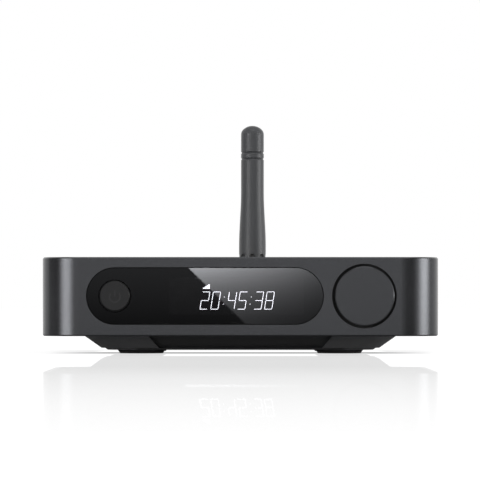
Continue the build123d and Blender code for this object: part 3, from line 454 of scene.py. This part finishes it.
def brushed_lines():
    """Long fine scratches along X, as on rolled or brushed metal."""
    group, vector, scale, ended = new_group("brushed_lines", 3000.0)
    drawn = added(group, "ShaderNodeVectorMath", {0: vector, 1: (0.03, 1, 1)},
                  operation="MULTIPLY")["Vector"]
    lines = noise(group, drawn, scale, 3.0, 0.6)
    smear = noise(group, vector, times(group, scale, 0.1))
    return ended(lines, times(group, plus(group, lines, smear), 0.5))


def board_tracks():
    """Copper tracks under solder mask: raised lines that keep to a square grid."""
    group, vector, scale, ended = new_group("board_tracks", 300.0)
    cells = added(group, "ShaderNodeTexVoronoi", {"Vector": vector, "Scale": scale},
                  distance="CHEBYCHEV", feature="F1")
    rings = maths(group, "FRACT", times(group, cells["Distance"], 6.0))
    tracks = ranged(group, far_from(group, rings, 0.5), 0.14, 0.2, 1.0, 0.0)
    weave = noise(group, vector, times(group, scale, 9.0))
    return ended(plus(group, tracks, times(group, weave, 0.2)),
                 plus(group, times(group, tracks, 0.3), times(group, weave, 0.5), 0.1))


def ribbon_lines():
    """Conductors of a flat cable, side by side across X."""
    group, vector, scale, ended = new_group("ribbon_lines", 1000.0)
    across = maths(group, "FRACT", times(group, axes(group, vector)[0], scale))
    lines = ranged(group, far_from(group, across, 0.5), 0.22, 0.3, 1.0, 0.0)
    grain = noise(group, vector, scale, 3.0, 0.6)
    return ended(lines, plus(group, times(group, lines, 0.35), times(group, grain, 0.4)))


groups = {}


def finish(name, colour, roughness, metallic=0.0, kind="blasted_grain", scale=4500.0,
           colour_swing=0.1, rough_swing=0.06, bump=0.15, depth=0.00004, gloss=0.5):
    """A material whose colour, roughness and relief vary finely over the surface."""
    material, tree, shader = new_material(name)
    effect = added(tree, "ShaderNodeGroup", {"Scale": scale, "Vector": coordinates(tree)},
                   node_tree=groups[kind])
    shade = ranged(tree, effect["Shade"], 0.3, 0.7)
    darker = [part * (1 - colour_swing) for part in colour]
    lighter = [min(1, part * (1 + colour_swing)) for part in colour]
    relief = added(tree, "ShaderNodeBump", {"Strength": bump, "Distance": depth,
                                            "Height": effect["Height"]})
    fed(tree, shader, {
        "Base Color": mixed(tree, shade, darker, lighter),
        "Roughness": ranged(tree, shade, 0.0, 1.0, roughness - rough_swing,
                            roughness + rough_swing),
        "Normal": relief["Normal"], "Metallic": metallic, "Specular IOR Level": gloss})
    return material


def give(material, *names):
    """Puts a material on CAD nodes."""
    for name in names:
        slots = nodes[name].material_slots
        for slot in slots:
            slot.material = material
        if not slots:
            nodes[name].data.materials.append(material)


# Casing


class STREAMER_OT_casing(bpy.types.Operator):
    """Finish the case, the rear panel, the base, the feet and the screws"""
    bl_idname = "streamer.casing"
    bl_label = "Casing"

    def execute(self, context):
        values = context.scene.streamer_casing
        grain = 1 / values.grain_size
        give(finish("case_finish", values.case_colour, values.case_roughness,
                    values.case_metal, scale=grain, colour_swing=0.06, rough_swing=0.02,
                    bump=0.22), "upper_case")
        give(finish("panel_plastic", values.panel_colour, 0.5, scale=grain * 0.6,
                    bump=0.3), "rear_panel")
        base = finish("base_plastic", values.base_colour, 0.45, scale=grain * 0.6,
                      bump=0.3, gloss=0.7)
        # Painted shade: the base's long recesses get a darker colour.
        self.painted_recess_shade(base, values.recess_shade_colour)
        give(base, "base_pan")
        give(finish("foot_rubber", values.foot_colour, 0.8, scale=grain * 0.3, bump=0.5,
                    gloss=0.2),
             "foot_front_left", "foot_rear_left", "foot_front_right", "foot_rear_right")
        give(finish("dark_screw", values.screw_colour, 0.35, 0.9, kind="turned_rings"),
             "case_screws", "panel_screws", "front_board_screws", "board_screws")
        return {"FINISHED"}

    @staticmethod
    def painted_recess_shade(material, colour):
        """Paints shade into the long recesses in the base's front and back: a darker colour where
        shadow falls.
        """
        tree = material.node_tree
        x, y, z = axes(tree)
        half_depth = (case_high.y - case_low.y) / 2
        land = ranged(tree, z, base_low.z + step_height, case_low.z,
                      half_depth - plinth_low_inset, half_depth - plinth_top_inset)
        recess_shade_mask = stepped(tree, minus(tree, land, far_from(tree, y, middle_y)), 0.0012, 0.0004)
        inner = stepped(tree, far_from(tree, x), 0.036, 0.001, 1.0, 0.0)
        recoloured(material, times(tree, recess_shade_mask, inner), colour)


# Window and display

digit_bars = {
    "0": "abcdef", "1": "bc", "2": "abged", "3": "abgcd", "4": "fgbc",
    "5": "afgcd", "6": "afgedc", "7": "abc", "8": "abcdefg", "9": "abcdfg",
}


class STREAMER_OT_display(bpy.types.Operator):
    """Finish the window and its module, and add the lit digits, the signal bars and the seal"""
    bl_idname = "streamer.display"
    bl_label = "Window and display"

    def execute(self, context):
        values = context.scene.streamer_display
        window, tree, shader = new_material("window_dark")
        haze = noise(tree, coordinates(tree), 90.0, 4.0, 0.6)
        fed(tree, shader, {
            "Base Color": (*values.window_tint, 1), "Transmission Weight": 1.0, "IOR": 1.49,
            "Metallic": 0.0, "Roughness": ranged(tree, haze, 0.35, 0.75, 0.004, 0.014)})
        give(window, "window_panel")
        give(finish("display_glass", (0.002, 0.002, 0.0022), 0.25, rough_swing=0.02,
                    bump=0.02, gloss=0.04), "display_module")
        give(finish("display_holder_black", (0.02, 0.02, 0.02), 0.55), "display_holder")

        glow, tree, shader = new_material("display_glow")
        uneven = ranged(tree, noise(tree, coordinates(tree), 700.0), 0.3, 0.7)
        dimmer = [part * 0.8 for part in values.glow_colour]
        fed(tree, shader, {
            "Base Color": (0.5, 0.5, 0.5, 1), "Emission Strength": values.glow_strength,
            "Emission Color": mixed(tree, uneven, dimmer, values.glow_colour)})
        face = module_low.y - printed - 2 * hair
        self.lit_digits(values, glow, face)
        self.lit_signal(values, glow, face)
        self.seal_window(values)
        return {"FINISHED"}

    @staticmethod
    def lit_digits(values, glow, face):
        """The digits, each of up to seven bars, and the colons' dots."""
        stroke, half_height = values.stroke, values.digit_height / 2
        gap, dot_size, dot_height = stroke * 0.3, stroke * 1.5, half_height * 0.4
        flat = bar(values.digit_width - stroke - gap, stroke, printed)
        upright = stood(bar(half_height - stroke - gap, stroke, printed))
        dot = bar(dot_size, dot_size, printed)
        side, end = (values.digit_width - stroke) / 2, half_height - stroke / 2
        middle = half_height / 2 - stroke / 4
        places = {"a": (flat, 0, end), "g": (flat, 0, 0), "d": (flat, 0, -end),
                  "f": (upright, -side, middle), "b": (upright, side, middle),
                  "e": (upright, -side, -middle), "c": (upright, side, -middle)}
        steps = [values.digit_pitch / 2 if mark == ":" else values.digit_pitch
                 for mark in values.reading]
        across = -sum(steps) / 2
        bars = []
        for mark, step in zip(values.reading, steps):
            centre = across + step / 2
            if mark == ":":
                bars += [copied(dot, centre, 0, height) for height in (dot_height, -dot_height)]
            for letter in digit_bars.get(mark, ""):
                shape, x, z = places[letter]
                bars.append(copied(shape, centre + x, 0, z))
            across += step
        digits = joined(bars, "display_digits")
        lean = Matrix.Identity(4)
        lean[0][2] = math.tan(values.slant)
        digits.data.transform(lean)
        moved(digits, values.centre_x, face, values.centre_z)
        dressed(digits, "chassis", glow)
        thrown_away(flat, upright, dot)

    @staticmethod
    def lit_signal(values, glow, face):
        """The four signal bars above the first digit."""
        width, pitch = values.stroke * 2.7, values.stroke * 2.9
        posts = []
        for place, height in enumerate((0.00036, 0.00075, 0.00112, 0.00148)):
            post = stood(bar(height, width, printed, point=0.04))
            posts.append(moved(post, place * pitch, 0, height / 2))
        signal = joined(posts, "signal_bars")
        moved(signal, values.centre_x - values.signal_left, face,
              values.centre_z + values.signal_up)
        dressed(signal, "chassis", glow)

    @staticmethod
    def seal_window(values):
        """The thin black seal in the gap between the window and the case."""
        half = (window_high.z - window_low.z) / 2
        middle = (window_high.z + window_low.z) / 2
        left = window_low.x + half
        seal = disc(half + values.seal_width, (left, front_y + values.seal_depth, middle))
        for spot in seal.data.vertices:
            spot.select = spot.co.x > left - hair / 10
        for edge in seal.data.edges:
            edge.select = all(seal.data.vertices[place].select for place in edge.vertices)
        for face in seal.data.polygons:
            face.select = False
        with editing(everything=False) as ops:
            bpy.ops.transform.translate(value=(window_high.x - window_low.x - 2 * half, 0, 0))
            ops.select_all(action="SELECT")
            ops.inset(thickness=values.seal_width - hair)
            ops.delete(type="FACE")
            ops.select_all(action="SELECT")
            extruded(0, window_high.y - window_low.y - values.seal_depth, 0)
        settle(outward(seal), "window_seal")
        dressed(seal, "chassis", finish("seal_black", (0.006, 0.006, 0.006), 0.5, gloss=0.2,
                                        scale=3000.0))


# Controls


class STREAMER_OT_controls(bpy.types.Operator):
    """Finish the button and the knob, and add the standby sign and the pocket's black liner of
    painted shade
    """
    bl_idname = "streamer.controls"
    bl_label = "Button and knob"

    def execute(self, context):
        values = context.scene.streamer_controls
        give(finish("button_plastic", values.button_colour, 0.32, scale=6000.0, bump=0.08,
                    gloss=0.25), "power_button")
        self.standby_sign(values)
        casing = context.scene.streamer_casing
        # Painted light: the knob takes the case's colour made one part in a hundred lighter.
        knob_lightened_colour = [part * 1.01 for part in casing.case_colour]
        give(finish("knob_finish", knob_lightened_colour, casing.case_roughness + 0.04,
                    casing.case_metal, scale=1 / casing.grain_size, colour_swing=0.06,
                    rough_swing=0.02, bump=0.22), "volume_knob")
        # Painted shade: a black cup darkens the gap round the knob.
        self.shade_knob_pocket(values)
        give(finish("shaft_metal", (0.55, 0.55, 0.56), 0.3, 1.0, kind="turned_rings"),
             "encoder_shaft", "encoder_bushing")
        give(finish("encoder_white", (0.5, 0.5, 0.48), 0.5), "encoder_rotor", "switch_plunger")
        give(finish("encoder_body_black", (0.03, 0.03, 0.03), 0.45), "encoder_body",
             "switch_body")
        return {"FINISHED"}

    @staticmethod
    def standby_sign(values):
        """The open ring and the stem of the standby sign, half sunk in the button's face."""
        radius, stroke = values.symbol_radius, values.symbol_stroke
        half_opening, stem_length, stem_height = radius * 0.68, radius * 1.1, radius * 0.6
        ring = disc(radius, (0, 0, 0), vertices=64)
        with editing() as ops:
            ops.inset(thickness=stroke)
            ops.delete(type="FACE")
        for face in ring.data.polygons:
            face.select = abs(face.center.x) < half_opening and face.center.z > 0
        with editing(everything=False) as ops:
            ops.delete(type="FACE")
            ops.select_all(action="SELECT")
            extruded(0, printed, 0)
        outward(ring)
        stem = moved(stood(bar(stem_length, stroke, printed)), 0, 0, stem_height)
        sign = joined([ring, stem], "standby_sign")
        centre = (button_low + button_high) / 2
        moved(sign, centre.x, button_low.y - printed / 2, centre.z - values.symbol_drop)
        dressed(sign, "power_button", finish("symbol_print", values.symbol_colour, 0.4,
                                             scale=9000.0, gloss=0.25))

    @staticmethod
    def shade_knob_pocket(values):
        """Painted shade: a thin black cup in the knob's pocket, which darkens the gap round the knob
        where shade falls.
        """
        centre = (knob_low + knob_high) / 2
        radius = (knob_high.x - knob_low.x) / 2 + values.pocket_gap - hair
        cup = disc(radius, (centre.x, front_y + values.pocket_depth - hair, centre.z))
        with editing() as ops:
            ops.inset(thickness=radius - values.pocket_hole)
            ops.delete(type="FACE")
        for edge in cup.data.edges:
            ends = [cup.data.vertices[place].co for place in edge.vertices]
            edge.select = all(math.hypot(spot.x - centre.x, spot.z - centre.z) > radius * 0.99
                              for spot in ends)
        with editing(everything=False):
            extruded(0, values.pocket_lip - values.pocket_depth, 0)
        outward(cup)
        wall = cup.modifiers.new("wall", "SOLIDIFY")
        wall.thickness = values.shade_cup_wall
        floor = max(cup.data.polygons, key=lambda face: abs(face.normal.y))
        wall.offset = -1 if floor.normal.y > 0 else 1
        only_selected(cup)
        bpy.ops.object.modifier_apply(modifier="wall")
        settle(cup, "pocket_shade_cup")
        dressed(cup, "chassis", finish("pocket_shade_black", (0.016, 0.016, 0.016), 0.6, gloss=0.3,
                                       scale=3000.0))


# Aerial


class STREAMER_OT_aerial(bpy.types.Operator):
    """Finish the aerial and the jack that carries it"""
    bl_idname = "streamer.aerial"
    bl_label = "Aerial"

    def execute(self, context):
        values = context.scene.streamer_aerial
        give(finish("whip_plastic", values.whip_colour, 0.38, scale=5000.0, bump=0.08,
                    gloss=0.42), "antenna_whip", "antenna_elbow")
        give(finish("gold_metal", values.gold_colour, 0.25, 1.0, kind="turned_rings"),
             "antenna_jack", "antenna_jack_nut", "antenna_jack_washer", "antenna_ferrule",
             "antenna_coupling_nut")
        give(finish("hinge_steel", (0.5, 0.5, 0.5), 0.3, 1.0), "antenna_hinge_pin")
        give(finish("lead_black", (0.02, 0.02, 0.02), 0.6), "antenna_lead")
        return {"FINISHED"}


# Rear sockets and inside


class STREAMER_OT_sockets(bpy.types.Operator):
    """Finish the rear sockets, and add their contacts and lights"""
    bl_idname = "streamer.sockets"
    bl_label = "Rear sockets"

    def execute(self, context):
        values = context.scene.streamer_inside
        give(finish("steel", values.steel_colour, 0.28, 1.0, kind="brushed_lines",
                    scale=2500.0, bump=0.08), "usb_a_shell", "usb_c_shell", "shield_can",
             "shutter_pin")
        give(finish("socket_gold", (0.8, 0.58, 0.24), 0.25, 1.0), "lan_contacts",
             "coax_jack_shell", "left_jack_shell", "right_jack_shell")
        give(finish("moulded_black", values.chip_colour, 0.5), "lan_socket", "optical_socket",
             "optical_shutter", "coax_jack_body", "line_jack_body", "usb_c_tongue", "chips",
             "module_connectors")
        give(finish("tongue_white", (0.6, 0.6, 0.58), 0.45), "usb_a_tongue", "ribbon_sockets")
        for name, colour, roughness, node in (
                ("coax_insert", (0.6, 0.2, 0.02), 0.4, "coax_jack_insert"),
                ("left_insert", (0.7, 0.7, 0.68), 0.4, "left_jack_insert"),
                ("right_insert", (0.5, 0.02, 0.02), 0.4, "right_jack_insert"),
                ("emitter_red", (0.3, 0.02, 0.02), 0.15, "optical_emitter")):
            give(finish(name, colour, roughness), node)
        gold = finish("contact_plating", context.scene.streamer_aerial.gold_colour, 0.22, 1.0,
                      kind="brushed_lines", scale=4000.0, bump=0.05)
        self.large_contacts(gold)
        self.small_contacts(gold)
        self.link_lights()
        return {"FINISHED"}

    def large_contacts(self, gold):
        """The four bent strips under the tongue of the larger data socket."""
        low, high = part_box("usb_a_tongue")
        width, length, sheet = 0.001, 0.007, 0.00005
        under, bend = high.z - 0.0019, 0.0008
        strip = block((width, length, sheet), (0, high.y - length / 2, under - sheet / 2))
        self.pushed(strip, 1, (0, sheet, 0))
        self.pushed(strip, 2, (0, 0, bend), lambda spot: spot.y > high.y)
        middle = (low.x + high.x) / 2
        strips = [copied(strip, middle + shift, 0, 0)
                  for shift in (-0.0035, -0.001, 0.001, 0.0035)]
        dressed(joined(strips, "usb_a_contacts"), "chassis", gold)
        thrown_away(strip)

    @staticmethod
    def small_contacts(gold):
        """The two rows of strips on the tongue of the smaller data socket."""
        low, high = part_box("usb_c_tongue")
        count, pitch, length, width, sheet = 12, 0.0005, 0.0042, 0.00024, 0.00003
        strip = bar(length, width, sheet)
        strip.data.transform(Matrix.Rotation(quarter, 4, "Z") @ Matrix.Rotation(quarter, 4, "X"))
        first = (low.x + high.x) / 2 - (count - 1) / 2 * pitch
        strips = [copied(strip, first + place * pitch, high.y - 0.0023, side)
                  for side in (low.z - sheet / 2, high.z + sheet / 2) for place in range(count)]
        dressed(joined(strips, "usb_c_contacts"), "chassis", gold)
        thrown_away(strip)

    @staticmethod
    def pushed(piece, axis, way, chosen=lambda spot: True):
        """Extrudes the chosen face that looks furthest along one axis."""
        only_selected(piece)
        faces = [face for face in piece.data.polygons
                 if face.normal[axis] > 0.9 and chosen(face.center)]
        picked = max(faces, key=lambda face: face.center[axis])
        for group in (piece.data.vertices, piece.data.edges, piece.data.polygons):
            for part in group:
                part.select = False
        picked.select = True
        with editing(everything=False) as ops:
            ops.select_mode(type="FACE")
            extruded(*way)

    @staticmethod
    def link_lights():
        """The two small lenses in the lower corners of the network socket."""
        low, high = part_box("lan_socket")
        size, shift, back, up = (0.0026, 0.0003, 0.0014), 0.0062, 0.0001, 0.0013
        middle = (low.x + high.x) / 2
        for name, side, colour in (("link_light_green", -1, (0.1, 0.42, 0.12)),
                                   ("link_light_amber", 1, (0.6, 0.3, 0.03))):
            lens = block(size, (middle + side * shift, high.y - back, low.z + up))
            with editing() as ops:
                ops.bevel(offset=0.00006, segments=3)
            only_selected(outward(lens))
            bpy.ops.object.shade_smooth_by_angle(angle=math.radians(30))
            settle(lens, name)
            dressed(lens, "chassis", finish(name, colour, 0.2, scale=2500.0, bump=0.03))


class STREAMER_OT_inside(bpy.types.Operator):
    """Finish the boards and the parts on them"""
    bl_idname = "streamer.inside"
    bl_label = "Inside"

    def execute(self, context):
        values = context.scene.streamer_inside
        give(finish("board_green", values.board_colour, 0.3, kind="board_tracks", scale=260.0,
                    colour_swing=0.4, bump=0.25, depth=0.00003),
             "main_board", "front_board", "processor_module")
        give(finish("sink_metal", (0.5, 0.5, 0.51), 0.35, 1.0, kind="brushed_lines",
                    scale=1500.0), "heat_sink")
        sleeve = finish("capacitor_sleeve", (0.03, 0.03, 0.05), 0.35)
        self.bare_top(sleeve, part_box("capacitors")[1].z)
        give(sleeve, "capacitors")
        give(finish("pad_rubber", (0.3, 0.31, 0.34), 0.7), "thermal_pad")
        give(finish("ribbon_white", (0.5, 0.5, 0.48), 0.4, kind="ribbon_lines", scale=1000.0,
                    colour_swing=0.25, bump=0.3), "ribbon_cable")
        return {"FINISHED"}

    @staticmethod
    def bare_top(material, top):
        """Shows the can's bare metal on a sleeved part's top."""
        tree = material.node_tree
        bare = ranged(tree, axes(tree)[2], top - 0.0003, top - 0.0002)
        recoloured(material, bare, (0.55, 0.55, 0.56))
        tree.links.new(bare, tree.nodes["Principled BSDF"].inputs["Metallic"])


# Stage

card_distance, card_height = 3.0, 1.5


def around(azimuth, distance, height):
    """A spot round the part. Azimuth 0 is in front and 90 on the right."""
    turn = math.radians(azimuth)
    return Vector((math.sin(turn) * distance, -math.cos(turn) * distance, height))


def lamp(name, azimuth, height, distance, width, tall, radiance, mirrored=True):
    """A soft lamp that faces the part."""
    data = bpy.data.lights.new(name, "AREA")
    data.shape = "RECTANGLE"
    data.size, data.size_y = width, tall
    data.energy = radiance * math.pi * width * tall
    item = bpy.data.objects.new(name, data)
    bpy.context.scene.collection.objects.link(item)
    item.location = around(azimuth, distance, height)
    aim = Vector((0, 0, height * 0.6)) - item.location
    item.rotation_euler = aim.to_track_quat("-Z", "Y").to_euler()
    item.visible_camera = False
    item.visible_glossy = mirrored


def lit_surface(name):
    """A material that only gives light, its tree and its light's inputs."""
    material, tree = new_material(name)[:2]
    tree.nodes.remove(tree.nodes["Principled BSDF"])
    light = tree.nodes.new("ShaderNodeEmission")
    tree.links.new(light.outputs["Emission"], tree.nodes["Material Output"].inputs["Surface"])
    return material, tree, light.inputs


def only_mirrored(card, name, material):
    """Finishes a card that nothing but reflections shows."""
    settle(card, name)
    card.data.materials.append(material)
    card.visible_camera = card.visible_diffuse = False
    card.visible_shadow = card.visible_transmission = False


def flag(name, azimuth, width, strength, fade_low, fade_high, full=1.0):
    """An upright card for the case to reflect. It fades into the room's light upwards, and
    sideways from its full share of the width."""
    turn = math.radians(azimuth)
    card = upright_plane(width, card_height, around(azimuth, card_distance, card_height / 2), turn)
    material, tree, light = lit_surface(name)
    x, y, z = axes(tree)
    across = plus(tree, times(tree, x, math.cos(turn)), times(tree, y, math.sin(turn)))
    share = times(tree, ranged(tree, z, fade_low, fade_high, 1.0, 0.0),
                  ranged(tree, far_from(tree, across), full * width / 2 - 0.001, width / 2,
                         1.0, 0.0))
    tree.links.new(plus(tree, times(tree, share, strength - 1.0), 1.0), light["Strength"])
    only_mirrored(card, name, material)


def window_reflection(values):
    """The card behind the camera whose slanted bright patch shows in the window."""
    height = 0.040
    far = front_y - values.camera_distance - 0.01
    card = upright_plane(0.21, 0.042, (-0.02, far, 0.0215))
    material, tree, light = lit_surface("window_card")
    x, y, z = axes(tree)
    (low_x, low_z), (high_x, high_z) = (0.0041, 0.0003), (-0.0359, 0.0397)
    run = (high_x - low_x) / (high_z - low_z)
    edge = plus(tree, low_x - run * low_z, times(tree, z, run))
    lit = stepped(tree, minus(tree, x, edge), 0.0, 0.0006)
    climb = times(tree, maths(tree, "POWER", 14.0, ranged(tree, z, 0.0, height)), 0.415)
    fall = ranged(tree, x, -0.027, 0.054, 1.66, 0.34)
    dim = ranged(tree, z, 0.0, height, 0.15, 0.46)
    fed(tree, light, {"Color": (0.94, 0.955, 1.0, 1),
                      "Strength": plus(tree, times(tree, lit, climb, fall), dim)})
    only_mirrored(card, "window_card", material)


def mirror_share(tree, aside, y):
    """How much the floor mirrors: it grows towards the part and ends just before it."""
    reach, strongest, end, foot_end = 0.86, 0.26, 0.044, 0.006
    near = ranged(tree, y, front_y - reach, front_y - strongest)
    near = ranged(tree, maths(tree, "POWER", near, 1.25), 0.0, 1.0, 0.12, 0.337)
    start = stepped(tree, y, front_y - reach, 0.002)
    before = stepped(tree, y, front_y - end, 0.001, 1.0, 0.0)
    half_foot = (foot_high.x - foot_low.x) / 2
    by_foot = ranged(tree, far_from(tree, aside, foot_low.x + half_foot), half_foot,
                     half_foot + 0.001, 1.0, 0.0)
    by_foot = times(tree, by_foot, stepped(tree, y, front_y + foot_end, 0.001, 1.0, 0.0))
    grazing = ranged(tree, added(tree, "ShaderNodeLayerWeight", {})["Facing"], 0.86, 0.96)
    return times(tree, near, start, maths(tree, "MAXIMUM", before, by_foot), grazing)


def own_light(tree, path, aside, depth):
    """The floor's own light: white for the camera, with painted light under the part that whitens
    its shadow there, and painted shade under the part in reflections.
    """
    camera_ray = path["Is Camera Ray"]
    mirror_ray = times(tree, maths(tree, "MAXIMUM", path["Is Glossy Ray"],
                                   path["Is Transmission Ray"]),
                       minus(tree, 1.0, camera_ray))
    # Painted shade: in reflections, the floor grows dim under and near the part.
    dim_aside, dim_depth, dim_reach = 0.052, 0.045, 0.30
    beyond = maths(tree, "MAXIMUM", minus(tree, aside, dim_aside), 0.0)
    along = maths(tree, "MAXIMUM", minus(tree, depth, dim_depth), 0.0)
    away = maths(tree, "SQRT", plus(tree, times(tree, beyond, beyond),
                                    times(tree, along, along)))
    under = ranged(tree, away, 0.0, dim_reach, 0.05, 0.85)
    # Painted light: for the camera, the floor under the part is brightened so that its shadow there
    # turns white.
    painted_light_aside, painted_light_depth, painted_light_blur = 0.0505, 0.042, 0.002
    deep = maths(tree, "MAXIMUM", minus(tree, aside, painted_light_aside),
                 minus(tree, depth, painted_light_depth))
    plain = plus(tree, 0.856, stepped(tree, deep, 0.0, painted_light_blur, 0.25, 0.0))
    return plus(tree, times(tree, camera_ray, plain), times(tree, mirror_ray, under))


def pale_floor(values):
    """The plain floor, with the part's reflection and a thin line of painted shadow along its
    contact.
    """
    nothing_selected()
    bpy.ops.mesh.primitive_plane_add(size=10, location=(0, 0, 0))
    floor = settle(bpy.context.object, "floor")
    material, tree, light = lit_surface("floor_pale")
    x, y, z = axes(tree)
    aside, depth = far_from(tree, x), far_from(tree, y, middle_y)
    path = tree.nodes.new("ShaderNodeLightPath").outputs
    fed(tree, light, {"Strength": own_light(tree, path, aside, depth)})
    diffuse = added(tree, "ShaderNodeBsdfDiffuse",
                    {"Color": [part * 0.3 for part in values.floor_colour] + [1]})
    glow = tree.nodes["Emission"].outputs[0]

    # Painted shadow: a thin dark line across the floor under the part's front, seen by the camera
    # only.
    contact_shadow_middle, contact_shadow_half, contact_shadow_start, contact_shadow_end = front_y + 0.0345, 0.0265, 0.0475, 0.0663
    line = stepped(tree, far_from(tree, y, contact_shadow_middle), contact_shadow_half, 0.001, 1.0, 0.0)
    line = times(tree, line, ranged(tree, aside, contact_shadow_start, contact_shadow_end, 1.0, 0.0),
                 path["Is Camera Ray"])
    shade = added(tree, "ShaderNodeEmission", {
        "Strength": ranged(tree, y, front_y + 0.019, front_y + 0.046, 0.67, 0.43)})
    gloss = added(tree, "ShaderNodeBsdfGlossy", {"Roughness": 0.002, "Color": (1, 1, 1, 1)})
    both = added(tree, "ShaderNodeAddShader", {0: diffuse[0], 1: glow})
    contact_shadowed = added(tree, "ShaderNodeMixShader", {0: line, 1: both[0], 2: shade[0]})
    whole = added(tree, "ShaderNodeMixShader",
                  {0: mirror_share(tree, aside, y), 1: contact_shadowed[0], 2: gloss[0]})
    fed(tree, tree.nodes["Material Output"].inputs, {"Surface": whole[0]})
    floor.data.materials.append(material)


def studio_world(values):
    """White for the camera and for reflections, darker overhead, and an even room light."""
    world = bpy.data.worlds.new("studio")
    bpy.context.scene.world = world
    world.use_nodes = True
    tree = world.node_tree
    path = tree.nodes.new("ShaderNodeLightPath").outputs
    seen = maths(tree, "MAXIMUM", path["Is Glossy Ray"], path["Is Transmission Ray"],
                 path["Is Camera Ray"])
    overhead = ranged(tree, axes(tree, coordinates(tree, "Generated"))[2], 0.4, 0.9, 1.0, 0.5)
    overhead = maths(tree, "MAXIMUM", overhead, path["Is Camera Ray"])
    level = plus(tree, times(tree, seen, overhead),
                 times(tree, minus(tree, 1.0, seen), values.room_level))
    fed(tree, tree.nodes["Background"].inputs, {"Strength": level, "Color": (1, 1, 1, 1)})


def new_camera(values):
    """The camera, low in front of the part."""
    data = bpy.data.cameras.new("camera")
    data.lens = values.focal_length
    data.sensor_width = 36.0
    data.clip_start, data.clip_end = 0.01, 30.0
    camera = bpy.data.objects.new("camera", data)
    bpy.context.scene.collection.objects.link(camera)
    camera.location = (-0.00014, front_y - values.camera_distance, values.camera_height)
    camera.rotation_euler = (quarter + values.camera_pitch, 0, 0)
    bpy.context.scene.camera = camera


class STREAMER_OT_stage(bpy.types.Operator):
    """Build the floor, the light and the camera"""
    bl_idname = "streamer.stage"
    bl_label = "Stage"

    def execute(self, context):
        values = context.scene.streamer_stage
        context.scene.view_settings.view_transform = "Standard"
        pale_floor(values)
        studio_world(values)
        lamp("left_lamp", -41.5, 0.8, 3.0, 1.5, 1.6, 6.9, mirrored=False)
        lamp("right_lamp", 76, 0.8, 3.0, 1.75, 1.6, 9.0, mirrored=False)
        lamp("top_lamp", 0, 1.3, 0.2, 0.9, 0.9, 0.9)
        flag("left_bright_card", -42, 2.3, 10.9, 0.12, 0.42, full=0.3)
        flag("right_bright_card", 75.5, 2.55, 12.3, 0.12, 0.42, full=0.3)
        flag("left_dark_card", -87, 2.4, 0.05, 0.3, 0.8)
        flag("right_dark_card", 28, 1.75, 0.0, 0.6, 1.2)
        new_camera(values)
        window_reflection(values)
        return {"FINISHED"}


# Panel and registration

steps = (STREAMER_OT_casing, STREAMER_OT_display, STREAMER_OT_controls, STREAMER_OT_aerial,
         STREAMER_OT_sockets, STREAMER_OT_inside, STREAMER_OT_stage)
settings = {"streamer_casing": StreamerCasing, "streamer_display": StreamerDisplay,
            "streamer_controls": StreamerControls, "streamer_aerial": StreamerAerial,
            "streamer_inside": StreamerInside, "streamer_stage": StreamerStage}


class STREAMER_PT_panel(bpy.types.Panel):
    """Lists the settings and the steps of the streamer"""
    bl_idname = "STREAMER_PT_panel"
    bl_label = "Streamer"
    bl_space_type = "VIEW_3D"
    bl_region_type = "UI"
    bl_category = "Streamer"

    def draw(self, context):
        for name in settings:
            group = getattr(context.scene, name)
            column = self.layout.column(align=True)
            for label in group.__annotations__:
                column.prop(group, label)
        for step in steps:
            self.layout.operator(step.bl_idname)


classes = (*settings.values(), *steps, STREAMER_PT_panel)


def register():
    """Adds the classes and the settings to Blender."""
    for item in classes:
        bpy.utils.register_class(item)
    for name, kind in settings.items():
        setattr(bpy.types.Scene, name, PointerProperty(type=kind))


def unregister():
    """Takes the settings and the classes out of Blender again."""
    for name in settings:
        delattr(bpy.types.Scene, name)
    for item in reversed(classes):
        bpy.utils.unregister_class(item)


def main():
    """Builds the looks."""
    register()
    for build in (blasted_grain, turned_rings, brushed_lines, board_tracks, ribbon_lines):
        groups[build.__name__] = build()
    for step in steps:
        area, name = step.bl_idname.split(".")
        getattr(getattr(bpy.ops, area), name)()


if __name__ == "__main__":
    main()
